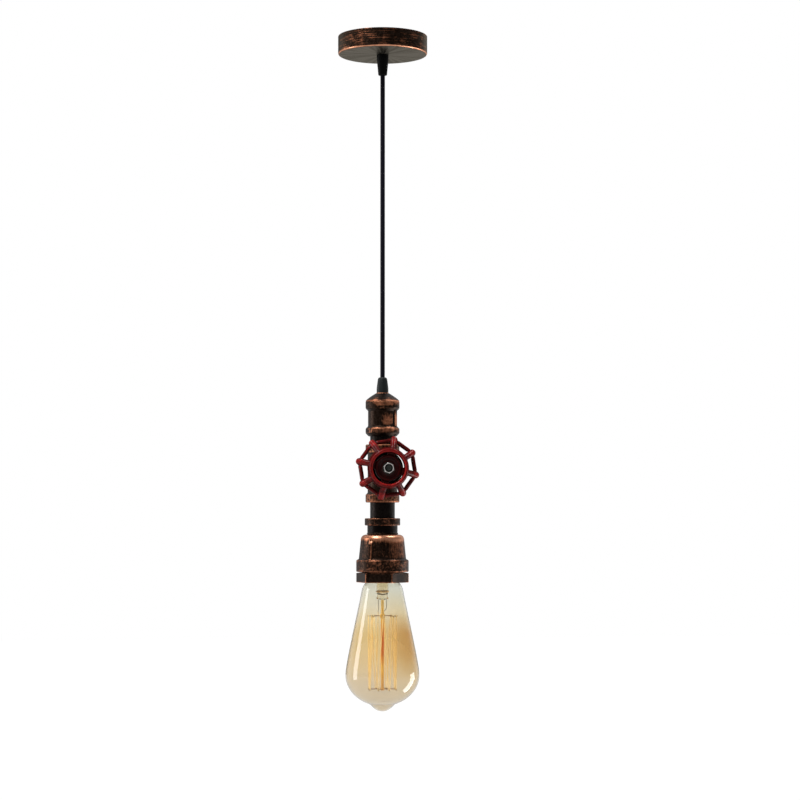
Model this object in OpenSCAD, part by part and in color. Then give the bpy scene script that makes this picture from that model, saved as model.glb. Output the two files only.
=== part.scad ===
// Cord pendant light made of pipe fittings, with a valve handwheel and a vintage screw-in bulb.
// Millimetres. The origin is the middle of the ceiling plane, +Z is up and the handwheel faces -Y.

/* [Ceiling rose] */
// Outside diameter of the rose
rose_d = 77.5; // [74:0.5:120]
// Depth of the rose below the ceiling
rose_h = 16; // [15:0.5:30]
// Sheet thickness of the rose
rose_wall = 1.2; // [0.8:0.1:2]
// Outer radius of the rose's lower edge
rose_edge_r = 1.8; // [1:0.1:4]

/* [Mounting bracket] */
// Length of the strap over both feet
bracket_l = 64; // [60:1:68]
// Width of the strap
bracket_w = 16; // [14:1:20]
// Thickness of the strap
bracket_t = 1.5; // [1:0.1:2]
// Drop of the strap's middle below the ceiling
bracket_drop = 7.5; // [7:0.1:8]
// Length of the strap's lowered middle
bracket_mid_l = 26; // [20:1:28]
// Length of the slope from the middle to a foot
bracket_slope_l = 3; // [2:0.5:4]
// Distance between the two screw slots
slot_spacing = 48; // [47:0.5:50]
// Width of a screw slot
slot_w = 4.5; // [3.5:0.1:6]
// Length of a screw slot
slot_l = 10; // [7:0.5:12]

/* [Terminal block] */
// Length of the block
block_l = 22; // [18:1:30]
// Width of the block
block_w = 9; // [8:0.5:12]
// Height of the block
block_h = 8.5; // [8:0.1:9]
// Gap between the bracket's edge and the block
block_gap = 6; // [5:0.5:8]
// Distance between the two poles
pole_pitch = 11; // [9:0.5:13]
// Distance of a terminal screw from the block's face
term_inset = 2.4; // [2:0.1:2.6]
// Diameter of a terminal screw
term_screw_d = 3.4; // [2.5:0.1:3.6]
// Height of a terminal screw
term_screw_h = 2.6; // [2:0.1:2.8]
// Depth of a terminal screw's head below the block's top
term_screw_sunk = 0.4; // [0.2:0.1:0.6]
// Diameter of a wire hole
wire_hole_d = 2.2; // [2:0.1:3]

/* [Cord and grips] */
// Diameter of the cord
cord_d = 4; // [3.5:0.1:4.4]
// Diameter of one insulated core
core_d = 1.4; // [1.2:0.1:1.6]
// Clearance between the cord and a hole it passes through
cord_gap = 0.2; // [0.1:0.05:0.4]
// Height above the bracket where the cord's sheath ends
sheath_rise = 1.5; // [1:0.1:2]
// Length of free cores above the lampholder
core_free_l = 13.5; // [12:0.5:16]
// Gap between the two cores
core_gap = 0.2; // [0.1:0.05:0.4]
// Length of core inside the terminal block
core_bite = 3.6; // [3:0.1:4]
// Length of the upper grip
upper_grip_l = 18; // [16:0.5:24]
// Diameter of the upper grip at its mouth
upper_mouth_d = 7.7; // [7:0.1:9]
// Length of the lower grip
lower_grip_l = 13.5; // [12:0.5:20]
// Diameter of the lower grip at its mouth
lower_mouth_d = 8.3; // [7:0.1:9]
// Diameter of both grips at the threaded end
grip_wide_d = 10.2; // [9.8:0.1:12]
// Straight length of a grip's threaded end
grip_straight_l = 4; // [2:0.5:6]
// Length of a grip's nose, from the mouth to the thread
grip_nose_l = 6.5; // [6:0.5:8]
// Rounding of a grip's mouth
grip_edge_r = 1; // [0.5:0.1:1.4]
// Diameter of a grip's clamping screw
grip_screw_d = 2.6; // [2:0.1:3]
// Distance of a clamping screw from the mouth
grip_screw_drop = 3.4; // [3:0.1:4]
// Diameter of the washer under the lower grip
washer_d = 11; // [10.5:0.1:13]
// Thickness of the washer under the lower grip
washer_t = 0.5; // [0.4:0.1:1]

/* [Edges and reliefs] */
// Bevel on the edges of the cast fittings
cast_edge = 0.8; // [0.4:0.1:1]
// Depth that a cast rib is sunk into its barrel
rib_root = 1; // [0.8:0.1:1.2]
// Relief cut past the end of a thread
thread_relief = 1; // [0.5:0.1:1]
// Width of the driver slot in a small screw
driver_slot_w = 0.7; // [0.5:0.1:0.8]
// Depth of the driver slot in a small screw
driver_slot_h = 0.6; // [0.4:0.1:0.8]

/* [Hollow nipples] */
// Outside diameter of a hollow nipple
nipple_d = 8; // [7.6:0.1:8.2]
// Bore of a hollow nipple
nipple_bore = 5.2; // [5:0.1:6]
// Width of a nipple nut across its flats
nipple_nut_af = 13; // [12:0.5:14]
// Thickness of a nipple nut
nipple_nut_t = 3; // [2.5:0.1:3]
// Length of nipple that shows past a nut
nipple_proud = 0.8; // [0.5:0.1:1.2]
// Clearance between mating threads, on the radius
thread_gap = 0.1; // [0.05:0.01:0.2]

/* [Pipe and coupling] */
// Outside diameter of the pipe nipples
pipe_d = 21.3; // [20:0.1:22]
// Wall of the pipe nipples
pipe_wall = 2.65; // [2:0.05:3]
// Depth that a pipe end screws into a fitting
thread_depth = 13; // [10:0.5:13]
// Bore of a fitting between its threads
waterway_d = 19; // [17:0.5:19.5]
// Diameter of the bands round the fittings
band_d = 29.2; // [28.5:0.1:32]
// Height of a band
band_h = 7.8; // [6:0.1:9]
// Bevel from a band down to the barrel
band_bevel = 1.2; // [0.8:0.1:1.4]
// Bevel round the coupling's lower end
coupling_foot = 2.6; // [1:0.1:3]
// Diameter of the coupling between its bands
coupling_barrel_d = 24.9; // [24:0.1:26]
// Length of the coupling
coupling_l = 30.2; // [29:0.1:40]
// Width of a rib along the coupling
coupling_rib_w = 4; // [3:0.5:6]
// Height of a rib along the coupling
coupling_rib_h = 1; // [0.5:0.1:1.2]
// Height of the plug's dome
dome_h = 6.8; // [5:0.1:8]
// Diameter of the flat on top of the dome
dome_flat_d = 12; // [11.5:0.5:14]
// Length of the plug's thread in the coupling
plug_thread_l = 10; // [9:0.5:11]
// Thickness of the plug's crown above its nut
plug_crown_t = 9; // [8:0.5:10]
// Clearance round the nut inside the plug
nut_room = 0.5; // [0.4:0.1:0.8]
// Exposed pipe between the coupling and the tee
upper_pipe_l = 7; // [6:0.5:20]

/* [Tee and valve] */
// Length of the tee's run
tee_l = 50; // [50:0.5:60]
// Diameter of the tee's run between its bands
tee_barrel_d = 25.6; // [25.4:0.1:27]
// Diameter of the band round the branch's mouth
branch_band_d = 30; // [29:0.1:32]
// Diameter of the tee's branch behind its band
branch_barrel_d = 25; // [24:0.1:25.3]
// Reach of the branch's face from the pipe axis
tee_reach = 28; // [27:0.5:34]
// Height of the branch's axis above the tee's middle
branch_rise = 3.8; // [0:0.1:4]
// Bore of the branch behind its thread
branch_way_d = 18; // [16:0.5:18.5]
// Length of the branch bush's thread
bush_thread_l = 12; // [9:0.5:12.5]
// Width of the branch bush across its flats
branch_bush_af = 24; // [22:0.5:26]
// Thickness of the branch bush's hexagon
branch_bush_t = 4.5; // [3:0.5:5]
// Width of the gland nut across its flats
gland_af = 14; // [13:0.5:17]
// Thickness of the gland nut
gland_t = 3.5; // [3:0.5:5]
// Diameter of the valve stem
stem_d = 8; // [7:0.1:9]
// Running clearance of the stem, on the radius
run_gap = 0.05; // [0.02:0.01:0.1]
// Gap in front of and behind the stem's collars
end_gap = 0.3; // [0.2:0.05:0.5]
// Diameter of the stem's collars
collar_d = 11; // [10.5:0.1:12]
// Thickness of the stem's collars
collar_t = 1.2; // [1:0.1:2]
// Exposed pipe between the tee and the reducer
lower_pipe_l = 13.5; // [10:0.5:30]

/* [Handwheel] */
// Diameter of the handwheel over its lobes
wheel_d = 55.2; // [50:0.1:60]
// Number of spokes
spokes = 8; // [6:1:8]
// Angle of the first spoke
spoke_angle = 31.8; // [0:0.1:45]
// Radius of a lobe on the rim
lobe_r = 3; // [2.7:0.1:3.5]
// Radius of a spoke where it leaves the ring
spoke_r = 2.5; // [2:0.1:2.8]
// Radial thickness of the rim bars
rim_t = 2.6; // [2:0.1:4]
// Front-to-back depth of the rim bars
rim_depth = 5; // [4:0.1:5.6]
// How far a rim bar bows in between two lobes
rim_bow = 0.2; // [0.1:0.1:1.5]
// Distance from the ring's crest back to the rim's middle
dish_depth = 13; // [10:0.5:14]
// Diameter of the ring's crest
ring_d = 30; // [28:0.1:32]
// Radius of the ring's rounded crest
ring_crest_r = 1.5; // [1:0.1:1.6]
// Radial width of the ring's foot
ring_foot_w = 4.2; // [3.8:0.1:5]
// Height of the ring from foot to crest
ring_h = 9; // [8:0.1:9.5]
// How far the ring's crest stands in front of the hub
ring_proud = 6.5; // [5.5:0.1:7]
// Thickness of the ring's foot
ring_foot_t = 1.6; // [1.2:0.1:2]
// Bevel on the wheel's cast edges
wheel_edge = 0.6; // [0.4:0.1:0.8]
// Distance of a spoke's root behind the ring's crest
spoke_drop = 2; // [1.5:0.1:2.5]
// Distance of a spoke's root outside the ring's crest
spoke_out = 1; // [0.5:0.1:1.5]
// Diameter of the hub disc
hub_disc_d = 22.4; // [20:0.1:23]
// Thickness of the hub disc
hub_disc_t = 4.6; // [4:0.1:5]
// How far the hub disc's back lies behind the ring's foot
disc_setback = 1.6; // [1.2:0.1:2]
// Width of the lip round the hub disc
disc_lip_w = 2; // [1.5:0.1:2.5]
// Step from the lip down to the disc's face
disc_step = 0.7; // [0.4:0.1:1]
// Diameter of the hub's boss
hub_d = 13; // [12.5:0.1:15]
// Length of the hub's boss
hub_l = 9.5; // [9:0.1:11]
// Width of a web between the hub disc and the ring
web_w = 6.5; // [5:0.1:8]
// Thickness of a web
web_t = 3.2; // [2.5:0.1:3.5]
// Side of the stem's square
square_w = 4.6; // [4:0.1:5]
// Clearance of the stem's square in the hub, on each side
square_gap = 0.1; // [0.05:0.01:0.2]
// Diameter of the stem's threaded end, which passes through the hub's square hole
stem_end_d = 4.4; // [4:0.1:4.5]
// Width of the wheel nut across its flats
wheel_nut_af = 8; // [7.5:0.1:9]
// Thickness of the wheel nut
wheel_nut_t = 4; // [3:0.1:5]
// Diameter of the wheel washer
wheel_washer_d = 10; // [9:0.1:12]
// Thickness of the wheel washer
wheel_washer_t = 0.8; // [0.5:0.1:1.2]
// Length of stem that shows past the wheel nut
stem_proud = 0.6; // [0.4:0.1:1]
// Width of the slot in the stem's end
stem_slot_w = 0.8; // [0.6:0.1:1]

/* [Reducer and bush] */
// Length of the reducer
reducer_l = 46; // [46:0.5:60]
// Diameter of the bead at the reducer's top
bead_d = 30.5; // [29:0.1:32]
// Height of the bead
bead_h = 6.2; // [5:0.1:7]
// Diameter of the reducer's neck
neck_d = 26; // [25:0.1:27]
// Height of the neck
neck_h = 7.8; // [6:0.1:8]
// Radius of the small bead at the foot of the neck
neck_bead_r = 0.9; // [0.6:0.1:1.2]
// Diameter of the bell under its shoulder
bell_top_d = 37.4; // [37:0.1:40]
// Diameter of the bell above the skirt
bell_low_d = 41; // [40:0.1:43]
// Height of the bell's rounded shoulder
shoulder_h = 5; // [3.5:0.1:6]
// Diameter of the band round the reducer's skirt
skirt_d = 45.1; // [44:0.1:48]
// Height of the band round the skirt
skirt_h = 10; // [8:0.5:12]
// Width of a rib down the bell
bell_rib_w = 4.5; // [3:0.5:6]
// Height of a rib down the bell
bell_rib_h = 1; // [0.5:0.1:1.2]
// Diameter of the bush's thread in the skirt
bush_d = 33.4; // [33:0.1:34]
// Thread that shows between the skirt and the hexagon
bush_gap = 0.6; // [0.5:0.1:3]
// Length of the bush's thread above the hexagon
bush_spigot_l = 9.6; // [9:0.1:10]
// Width of the hexagon across its flats
hex_af = 39.8; // [39:0.1:44]
// Height of the hexagon
hex_h = 8.4; // [6:0.1:10]
// Bevel on the hexagon's corners
hex_bevel = 0.4; // [0.4:0.1:1.2]
// Angle of a hexagon corner
hex_angle = -15; // [-30:1:30]

/* [Lampholder] */
// Outside diameter of the holder's body
holder_d = 32; // [31:0.1:33]
// Height of the holder's body
holder_h = 18; // [17:0.5:18]
// Thickness of the holder's top
holder_top_t = 8.5; // [7:0.5:9]
// Wall of the screw shell
shell_wall = 0.5; // [0.4:0.05:0.6]
// Clearance of the shell in the bush and the holder, on the radius
shell_gap = 0.2; // [0.1:0.05:0.4]
// Clearance of the bulb's cap in the shell, on the radius
lamp_gap = 0.3; // [0.2:0.05:0.4]
// How far the shell stays inside the hexagon's lower face
shell_inset = 1; // [0.5:0.5:3]
// Diameter of the centre contact
contact_d = 10; // [8:0.5:12]
// Thickness of the centre contact
contact_t = 1; // [0.6:0.1:1.2]
// Diameter of the contact's rivet
rivet_d = 3; // [2:0.1:3.4]
// Distance of a holder terminal from the axis
post_x = 7; // [6.8:0.1:7.2]
// Side of a holder terminal
post_w = 4; // [3.5:0.1:4.2]
// Height of a holder terminal
post_h = 3.5; // [3:0.1:3.6]
// Diameter of a holder screw
post_screw_d = 2.8; // [2:0.1:3]
// Height of a holder screw
post_screw_h = 1.2; // [0.8:0.1:1.4]

/* [Bulb] */
// Diameter of the bulb's screw cap
cap_d = 26.3; // [26:0.05:26.5]
// Length of the screw cap
cap_l = 21.5; // [20:0.5:21.8]
// Sheet thickness of the cap
cap_wall = 0.5; // [0.4:0.05:0.6]
// Bevel round the cap's upper edge
cap_bevel = 1.2; // [1:0.1:1.5]
// Width of the cap's rim over the insulator
cap_lip_w = 2.5; // [2:0.1:3]
// Height of the cap's contact
tip_contact_h = 1.5; // [1:0.1:2]
// Diameter of the cap's contact
tip_contact_d = 9; // [8:0.5:10]
// Height of the cap's insulator
insulator_h = 3; // [2.5:0.1:3.5]
// Rim of the insulator round the contact
insulator_rim = 1; // [0.6:0.1:2]
// Largest diameter of the glass
glass_d = 63.5; // [60:0.5:64]
// Length of the glass below the cap
glass_l = 110.4; // [108:0.2:116]
// Distance from the cap to the widest place
belly_drop = 79.4; // [76:0.2:84]
// Height of the round bottom below the widest place
belly_h = 26.5; // [24:0.5:28]
// Thickness of the glass
glass_wall = 0.8; // [0.6:0.1:1.2]
// Diameter of the glass at its shoulder
shoulder_d = 35.3; // [33:0.1:37]
// Distance of the shoulder below the cap
shoulder_drop = 6.7; // [5:0.1:8]
// How far the glass spreads straight out of the cap
neck_flare = 2.8; // [2:0.1:3.5]
// Length of the glass neck inside the cap
glass_neck_l = 11; // [8:0.5:14]
// Clearance of the glass neck in the cap, on the radius
cement_gap = 0.25; // [0.1:0.05:0.4]
// Diameter of the tip's root
tip_root_d = 24; // [20:0.5:26]
// Diameter of the glass stem
glass_stem_d = 10.4; // [9:0.1:12]
// Distance of the stem's end below the cap
stem_drop = 8; // [6:0.5:10]
// Width of the press at the stem's end
press_w = 8.6; // [8:0.1:10]
// Thickness of the press
press_t = 4; // [3:0.1:5]
// Length of the press
press_l = 7; // [6:0.5:8]

/* [Filament] */
// Diameter of the support rod
rod_d = 2.6; // [2:0.1:3]
// Length of the support rod below the press
rod_l = 77; // [70:0.5:80]
// Diameter of the rod's bead
bead_ball_d = 4.8; // [4:0.1:5.5]
// Drop from the press to the upper hooks
hook_drop = 14; // [12:0.5:18]
// Rise of the lower hooks above the rod's end
hook_rise = 1.2; // [1:0.1:2]
// Number of hooks in each ring
hooks = 8; // [6:1:10]
// Diameter of a hook's wire
hook_wire_d = 0.5; // [0.4:0.05:0.6]
// Length of a hook's wire inside the rod
hook_root = 0.2; // [0.1:0.05:0.4]
// Length of a hook's wire past the filament
hook_end = 0.6; // [0.4:0.1:1]
// Diameter of the filament cage
cage_d = 24; // [22:0.5:26]
// Diameter of the filament
filament_d = 0.4; // [0.3:0.05:0.5]
// Gap between the filament and a hook
filament_gap = 0.1; // [0.1:0.05:0.3]
// Diameter of a lead-in wire
lead_wire_d = 0.7; // [0.6:0.05:0.9]
// Turn of a lead-in wire's end round the cage, from the rear
lead_turn = 12; // [10:0.5:14]
// Height of a lead-in wire's end above the upper hooks
lead_rise = 2.5; // [2:0.1:3]

/* [Hidden] */
$fn = 64;
// Overshoot of cutting solids past the faces they cut
over = 0.5;
// Cord route below the upper grip's mouth: the first stretch, then the rest
CORD_TOP_ROUTE = [[0, 0, 0], [0, 0, -10], [0, 0, -20], [0, 0, -30], [0, 0, -40]];
CORD_ROUTE = [
    [0, 0, -40], [0, 0, -52], [0, 0, -64], [0, 0, -76], [0, 0, -88], [0, 0, -100], [0, 0, -112],
    [0, 0, -124], [0, 0, -136], [0, 0, -148], [0, 0, -160], [0, 0, -172], [0, 0, -184], [0, 0, -196],
    [0, 0, -208], [0, 0, -220], [0, 0, -232], [0, 0, -244], [0, 0, -254], [0, 0, -263]
];
// Pulls that shape the flank of the bulb: out and down from the shoulder, and up from the widest place
flank_pull = [3.55, -19.3];
belly_pull = 9.4;
cord_sides = 10;
core_sides = 8;
wire_sides = 6;

// Heights of the stack, from the ceiling down
z_floor = rose_wall - rose_h;
z_rose = -rose_h;
z_mouth = z_rose - upper_grip_l;
z_cord_end = z_mouth + CORD_ROUTE[len(CORD_ROUTE) - 1][2];
z_grip_low = z_cord_end - lower_grip_l;
z_dome = z_grip_low - washer_t;
z_coupling = z_dome - dome_h;
z_coupling_low = z_coupling - coupling_l;
z_tee = z_coupling_low - upper_pipe_l;
z_tee_low = z_tee - tee_l;
z_branch = (z_tee + z_tee_low) / 2 + branch_rise;
z_reducer = z_tee_low - lower_pipe_l;
z_skirt_low = z_reducer - reducer_l;
z_skirt = z_skirt_low + skirt_h;
z_bell = z_reducer - bead_h - neck_h;
z_hex = z_skirt_low - bush_gap;
z_hex_low = z_hex - hex_h;
z_spigot = z_hex + bush_spigot_l;
z_holder = z_spigot + holder_h;
z_socket = z_holder - holder_top_t;
z_tip_contact = z_socket - contact_t - lamp_gap;
z_insulator = z_tip_contact - tip_contact_h;
z_cap = z_insulator - insulator_h;
z_glass = z_cap - cap_l;
z_press = z_glass - stem_drop - press_l;
z_upper_hooks = z_press - hook_drop;
z_rod_low = z_press - rod_l;
z_lower_hooks = z_rod_low + hook_rise;

// Radii shared by pieces that fit together
pipe_r = pipe_d / 2;
band_r = band_d / 2;
pipe_hole_r = pipe_r + thread_gap;
nipple_r = nipple_d / 2;
nipple_hole_r = nipple_r + thread_gap;
cord_hole_r = cord_d / 2 + cord_gap;
bush_r = bush_d / 2;
bush_hole_r = bush_r + thread_gap;
cap_r = cap_d / 2;
shell_r_in = cap_r + lamp_gap;
shell_r = shell_r_in + shell_wall;
bush_bore_r = shell_r + shell_gap;
neck_r = cap_r - cap_wall - cement_gap;
cage_r = cage_d / 2;
stem_r = stem_d / 2;
core_x = (core_d + core_gap) / 2;

// Fronts along the valve axis, measured from the pipe axis
bush_back = tee_reach - bush_thread_l;
gland_front = tee_reach + branch_bush_t + gland_t;
hub_back = gland_front + end_gap + collar_t;
hub_front = hub_back + hub_l;
nut_front = hub_front + wheel_washer_t + wheel_nut_t;
ring_crest = hub_front + ring_proud;
rim_middle = ring_crest - dish_depth;
ring_foot = ring_crest - ring_h;
lobe_at = wheel_d / 2 - lobe_r;

// Angles of the cast ribs
coupling_rib_angle = -34;
bell_rib_angle = -128;
nut_angle = 40;

// Points on an arc from angle a to angle b
function arc(x, y, r, a, b, n = 6) = [
    for (i = [0:n])
        let (t = a + (b - a) * i / n) [x + r * cos(t), y + r * sin(t)]
];

// Points on a cubic curve between p and s, drawn towards q and r
function curve(p, q, r, s, n = 8) = [
    for (i = [0:n])
        let (t = i / n, u = 1 - t)
            u * u * u * p + 3 * u * u * t * q + 3 * u * t * t * r + t * t * t * s
];

// Points of a list in reverse order
function flip(p) = [for (i = [len(p) - 1:-1:0]) p[i]];

function unit(v) = v / norm(v);

// Direction of a route at one of its points
function heading(p, i) = unit(p[min(i + 1, len(p) - 1)] - p[max(i - 1, 0)]);

// Ring of points round a route's point; side is a direction that the route never takes
function ring_at(p, i, r, m, side) =
    let (t = heading(p, i), n1 = unit(cross(side, t)), n2 = cross(t, n1))
        [for (j = [0:m - 1]) p[i] + r * (cos(360 * j / m) * n1 + sin(360 * j / m) * n2)];

// Round tube swept along the points of a route
module route_tube(p, r, m, side) {
    last = len(p) - 1;
    points = [for (i = [0:last]) each ring_at(p, i, r, m, side)];
    walls = [
        for (i = [0:last - 1], j = [0:m - 1])
            let (a = i * m + j, b = i * m + (j + 1) % m, c = a + m, d = b + m)
                each [[a, c, d], [a, d, b]]
    ];
    start = [[for (j = [0:m - 1]) j]];
    end = [[for (j = [m - 1:-1:0]) last * m + j]];
    polyhedron(points = points, faces = concat(start, walls, end));
}

// Solid of revolution about the lamp's axis from a profile of radius and height
module turned(profile) {
    rotate_extrude() polygon(profile);
}

// Round bar between two heights
module bar(r, top, low) {
    translate([0, 0, low]) cylinder(h = top - low, r = r);
}

// Hole through whatever lies between two heights
module hole(r, top, low) {
    bar(r, top + over, low - over);
}

// Hexagon between two heights, given across its flats
module hexagon(af, top, low, angle = 0) {
    translate([0, 0, low]) rotate(angle) cylinder(h = top - low, d = af / cos(30), $fn = 6);
}

// Hexagon nut with a round hole
module nut(af, hole_r, top, low, angle = 0) {
    difference() {
        hexagon(af, top, low, angle);
        hole(hole_r, top, low);
    }
}

// Turns height into distance in front of the pipe axis, along the valve's axis
module on_valve_axis() {
    translate([0, 0, z_branch]) rotate([90, 0, 0]) children();
}

// Outline of a fitting's band, bevelled towards the barrel on the side away from its mouth
function band_down(top, band_r, barrel_r) = [
    [band_r - band_bevel / 2, top],
    [band_r, top - band_bevel / 2],
    [band_r, top - band_h + band_bevel],
    [barrel_r, top - band_h - (band_r - barrel_r) + band_bevel]
];
function band_up(low, band_r, barrel_r, foot) = [
    [barrel_r, low + band_h + (band_r - barrel_r) - band_bevel],
    [band_r, low + band_h - band_bevel],
    [band_r, low + foot],
    [band_r - foot, low]
];

// Driver slot cut into the head of a small screw
module driver_slot(d, top) {
    translate([-d, -driver_slot_w / 2, top - driver_slot_h])
        cube([2 * d, driver_slot_w, driver_slot_h + over]);
}

// Ceiling rose and what it hides

module ceiling_rose() {
    r = rose_d / 2;
    inner_r = max(rose_edge_r - rose_wall, 0.1);
    hole_r = nipple_hole_r + thread_gap;
    color("#4a352a") turned(concat(
        [[r, 0]],
        arc(r - rose_edge_r, z_rose + rose_edge_r, rose_edge_r, 0, -90),
        [[hole_r, z_rose], [hole_r, z_floor]],
        arc(r - rose_wall - inner_r, z_floor + inner_r, inner_r, -90, 0),
        [[r - rose_wall, 0]]
    ));
}

module mounting_bracket() {
    half = bracket_l / 2;
    mid = bracket_mid_l / 2;
    knee = mid + bracket_slope_l;
    top = [[-half, 0], [-knee, 0], [-mid, -bracket_drop], [mid, -bracket_drop], [knee, 0], [half, 0]];
    slope = norm([bracket_slope_l, bracket_drop]);
    lean = bracket_t * (slope - bracket_slope_l) / bracket_drop;
    low = [
        [half, -bracket_t], [knee + lean, -bracket_t], [mid + lean, -bracket_drop - bracket_t],
        [-mid - lean, -bracket_drop - bracket_t], [-knee - lean, -bracket_t], [-half, -bracket_t]
    ];
    color("#b8b8b4") difference() {
        translate([0, bracket_w / 2, 0]) rotate([90, 0, 0])
            linear_extrude(bracket_w) polygon(concat(low, top));
        hole(nipple_hole_r, -bracket_drop, -bracket_drop - bracket_t);
        for (side = [-1, 1])
            translate([side * slot_spacing / 2, 0, -bracket_t - over])
                linear_extrude(bracket_t + 2 * over) slot();
    }
}

module slot() {
    run = (slot_l - slot_w) / 2;
    for (side = [-1, 1])
        translate([side * run, 0]) circle(d = slot_w);
    square([2 * run, slot_w], center = true);
}

module rose_nipple() {
    top = nipple_nut_t + nipple_proud - bracket_drop;
    low = z_mouth + grip_nose_l + nipple_proud;
    color("#b9a06a") difference() {
        bar(nipple_r, top, low);
        hole(nipple_bore / 2, top, low);
    }
}

module rose_nipple_nuts() {
    above = -bracket_drop;
    below = above - bracket_t;
    color("#b9a06a") {
        nut(nipple_nut_af, nipple_hole_r, above + nipple_nut_t, above);
        nut(nipple_nut_af, nipple_hole_r, below, below - nipple_nut_t);
    }
}

block_y = bracket_w / 2 + block_gap;
block_top = z_floor + block_h;
wire_z = z_floor + block_h / 2;
screw_seat = block_top - term_screw_h - term_screw_sunk;
module at_poles() {
    for (side = [-1, 1], row = [term_inset, block_w - term_inset])
        translate([side * pole_pitch / 2, block_y + row, 0]) children();
}

module terminal_block() {
    color("#ece8dc") difference() {
        translate([-block_l / 2, block_y, z_floor]) cube([block_l, block_w, block_h]);
        for (side = [-1, 1])
            translate([side * pole_pitch / 2, block_y - over, wire_z])
                rotate([-90, 0, 0]) cylinder(h = block_w + 2 * over, d = wire_hole_d);
        at_poles() bar(term_screw_d / 2 + thread_gap, block_top + over, screw_seat);
    }
}

module terminal_screws() {
    color("#c9a24a") at_poles() difference() {
        bar(term_screw_d / 2, screw_seat + term_screw_h, screw_seat);
        driver_slot(term_screw_d, screw_seat + term_screw_h);
    }
}

// Two cores run out of the nipple, over the bracket and down into the block
sheath_top = sheath_rise - bracket_drop;
module rose_cores() {
    y = block_y;
    color("#5b3a22") for (side = [-1, 1]) route_tube([
        [side * core_x, 0, sheath_top],
        [side * core_x, 0, sheath_top + 2],
        [side * (core_x + 0.7), 1.6, -2.9],
        [side * 2.6, 4.2, -2.3],
        [side * 4.2, y - 6, -2.6],
        [side * 5, y - 3.8, -4.4],
        [side * (pole_pitch / 2), y - 3, wire_z + 3.4],
        [side * (pole_pitch / 2), y - 2.4, wire_z + 1],
        [side * (pole_pitch / 2), y - 1.2, wire_z],
        [side * (pole_pitch / 2), y + core_bite, wire_z]
    ], core_d / 2, core_sides, [1, 0, 0]);
}

// Cord grips and the cord

// Radius of a grip's side at height z above its mouth
function grip_side_r(l, mouth_d, z) =
    mouth_d / 2 + (grip_wide_d - mouth_d) / 2 * (z - grip_edge_r) / (l - grip_straight_l - grip_edge_r);

// Grip along +Z with its mouth at 0 and its threaded end at length l
module grip(l, mouth_d) {
    mouth_r = mouth_d / 2;
    wide_r = grip_wide_d / 2;
    difference() {
        turned(concat(
            [[cord_hole_r, 0]],
            arc(mouth_r - grip_edge_r, grip_edge_r, grip_edge_r, -90, 0),
            [[wide_r, l - grip_straight_l], [wide_r, l], [nipple_hole_r, l]],
            [[nipple_hole_r, grip_nose_l], [cord_hole_r, grip_nose_l]]
        ));
        translate([0, 0, grip_screw_drop]) rotate([-90, 0, 0])
            cylinder(h = grip_wide_d, d = grip_screw_d + 2 * thread_gap);
    }
}

// Clamping screw that bears on the cord, its end flush with the grip
module grip_screw(l, mouth_d) {
    foot = cord_d / 2 + thread_gap;
    head = grip_side_r(l, mouth_d, grip_screw_drop);
    translate([0, foot, grip_screw_drop]) rotate([-90, 0, 0]) cylinder(h = head - foot, d = grip_screw_d);
}

module at_upper_mouth() {
    translate([0, 0, z_mouth]) children();
}

module at_lower_mouth() {
    translate([0, 0, z_cord_end]) mirror([0, 0, 1]) children();
}

module upper_cord_grip() {
    color("#141414") at_upper_mouth() grip(upper_grip_l, upper_mouth_d);
}

module upper_grip_screw() {
    color("#e6e2d6") at_upper_mouth() grip_screw(upper_grip_l, upper_mouth_d);
}

module cord_entry() {
    color("#1c1b20") bar(cord_d / 2, sheath_top, z_mouth);
}

module cord_top() {
    color("#1c1b20") at_upper_mouth() route_tube(CORD_TOP_ROUTE, cord_d / 2, cord_sides, [1, 0, 0]);
}

module cord() {
    color("#1c1b20") at_upper_mouth() route_tube(CORD_ROUTE, cord_d / 2, cord_sides, [1, 0, 0]);
}

module lower_cord_grip() {
    color("#2a3232") at_lower_mouth() grip(lower_grip_l, lower_mouth_d);
}

module lower_grip_screw() {
    color("#e6e2d6") at_lower_mouth() grip_screw(lower_grip_l, lower_mouth_d);
}

module grip_washer() {
    color("#b0785a") difference() {
        bar(washer_d / 2, z_grip_low, z_dome);
        hole(nipple_hole_r, z_grip_low, z_dome);
    }
}

// Plug, coupling and upper pipe

z_plug_nut = z_dome - plug_crown_t;
module lamp_nipple() {
    top = z_cord_end - grip_nose_l - nipple_proud;
    low = z_plug_nut - nipple_nut_t - nipple_proud;
    color("#b9a06a") difference() {
        bar(nipple_r, top, low);
        hole(nipple_bore / 2, top, low);
    }
}

module lamp_nipple_nut() {
    color("#b9a06a") nut(nipple_nut_af, nipple_hole_r, z_plug_nut, z_plug_nut - nipple_nut_t);
}

module dome_plug() {
    low = z_coupling - plug_thread_l;
    recess_r = nipple_nut_af / 2 / cos(30) + nut_room;
    flat_r = dome_flat_d / 2;
    color("#7c5546") turned(concat(
        [[nipple_hole_r, z_dome]],
        curve(
            [flat_r, z_dome], [(2 * flat_r + band_r) / 3, z_dome - dome_h / 4],
            [(flat_r + 5 * band_r) / 6, z_dome - dome_h * 2 / 3], [band_r, z_coupling + cast_edge / 2]
        ),
        [[band_r - cast_edge / 2, z_coupling], [pipe_r, z_coupling], [pipe_r, low], [recess_r, low]],
        [[recess_r, z_plug_nut], [nipple_hole_r, z_plug_nut]]
    ));
}

// Straight cast rib along a barrel, between two heights
module rib(angle, width, barrel_r, height, top, low) {
    rotate(angle) translate([barrel_r - rib_root, -width / 2, low])
        cube([rib_root + height, width, top - low]);
}

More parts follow.
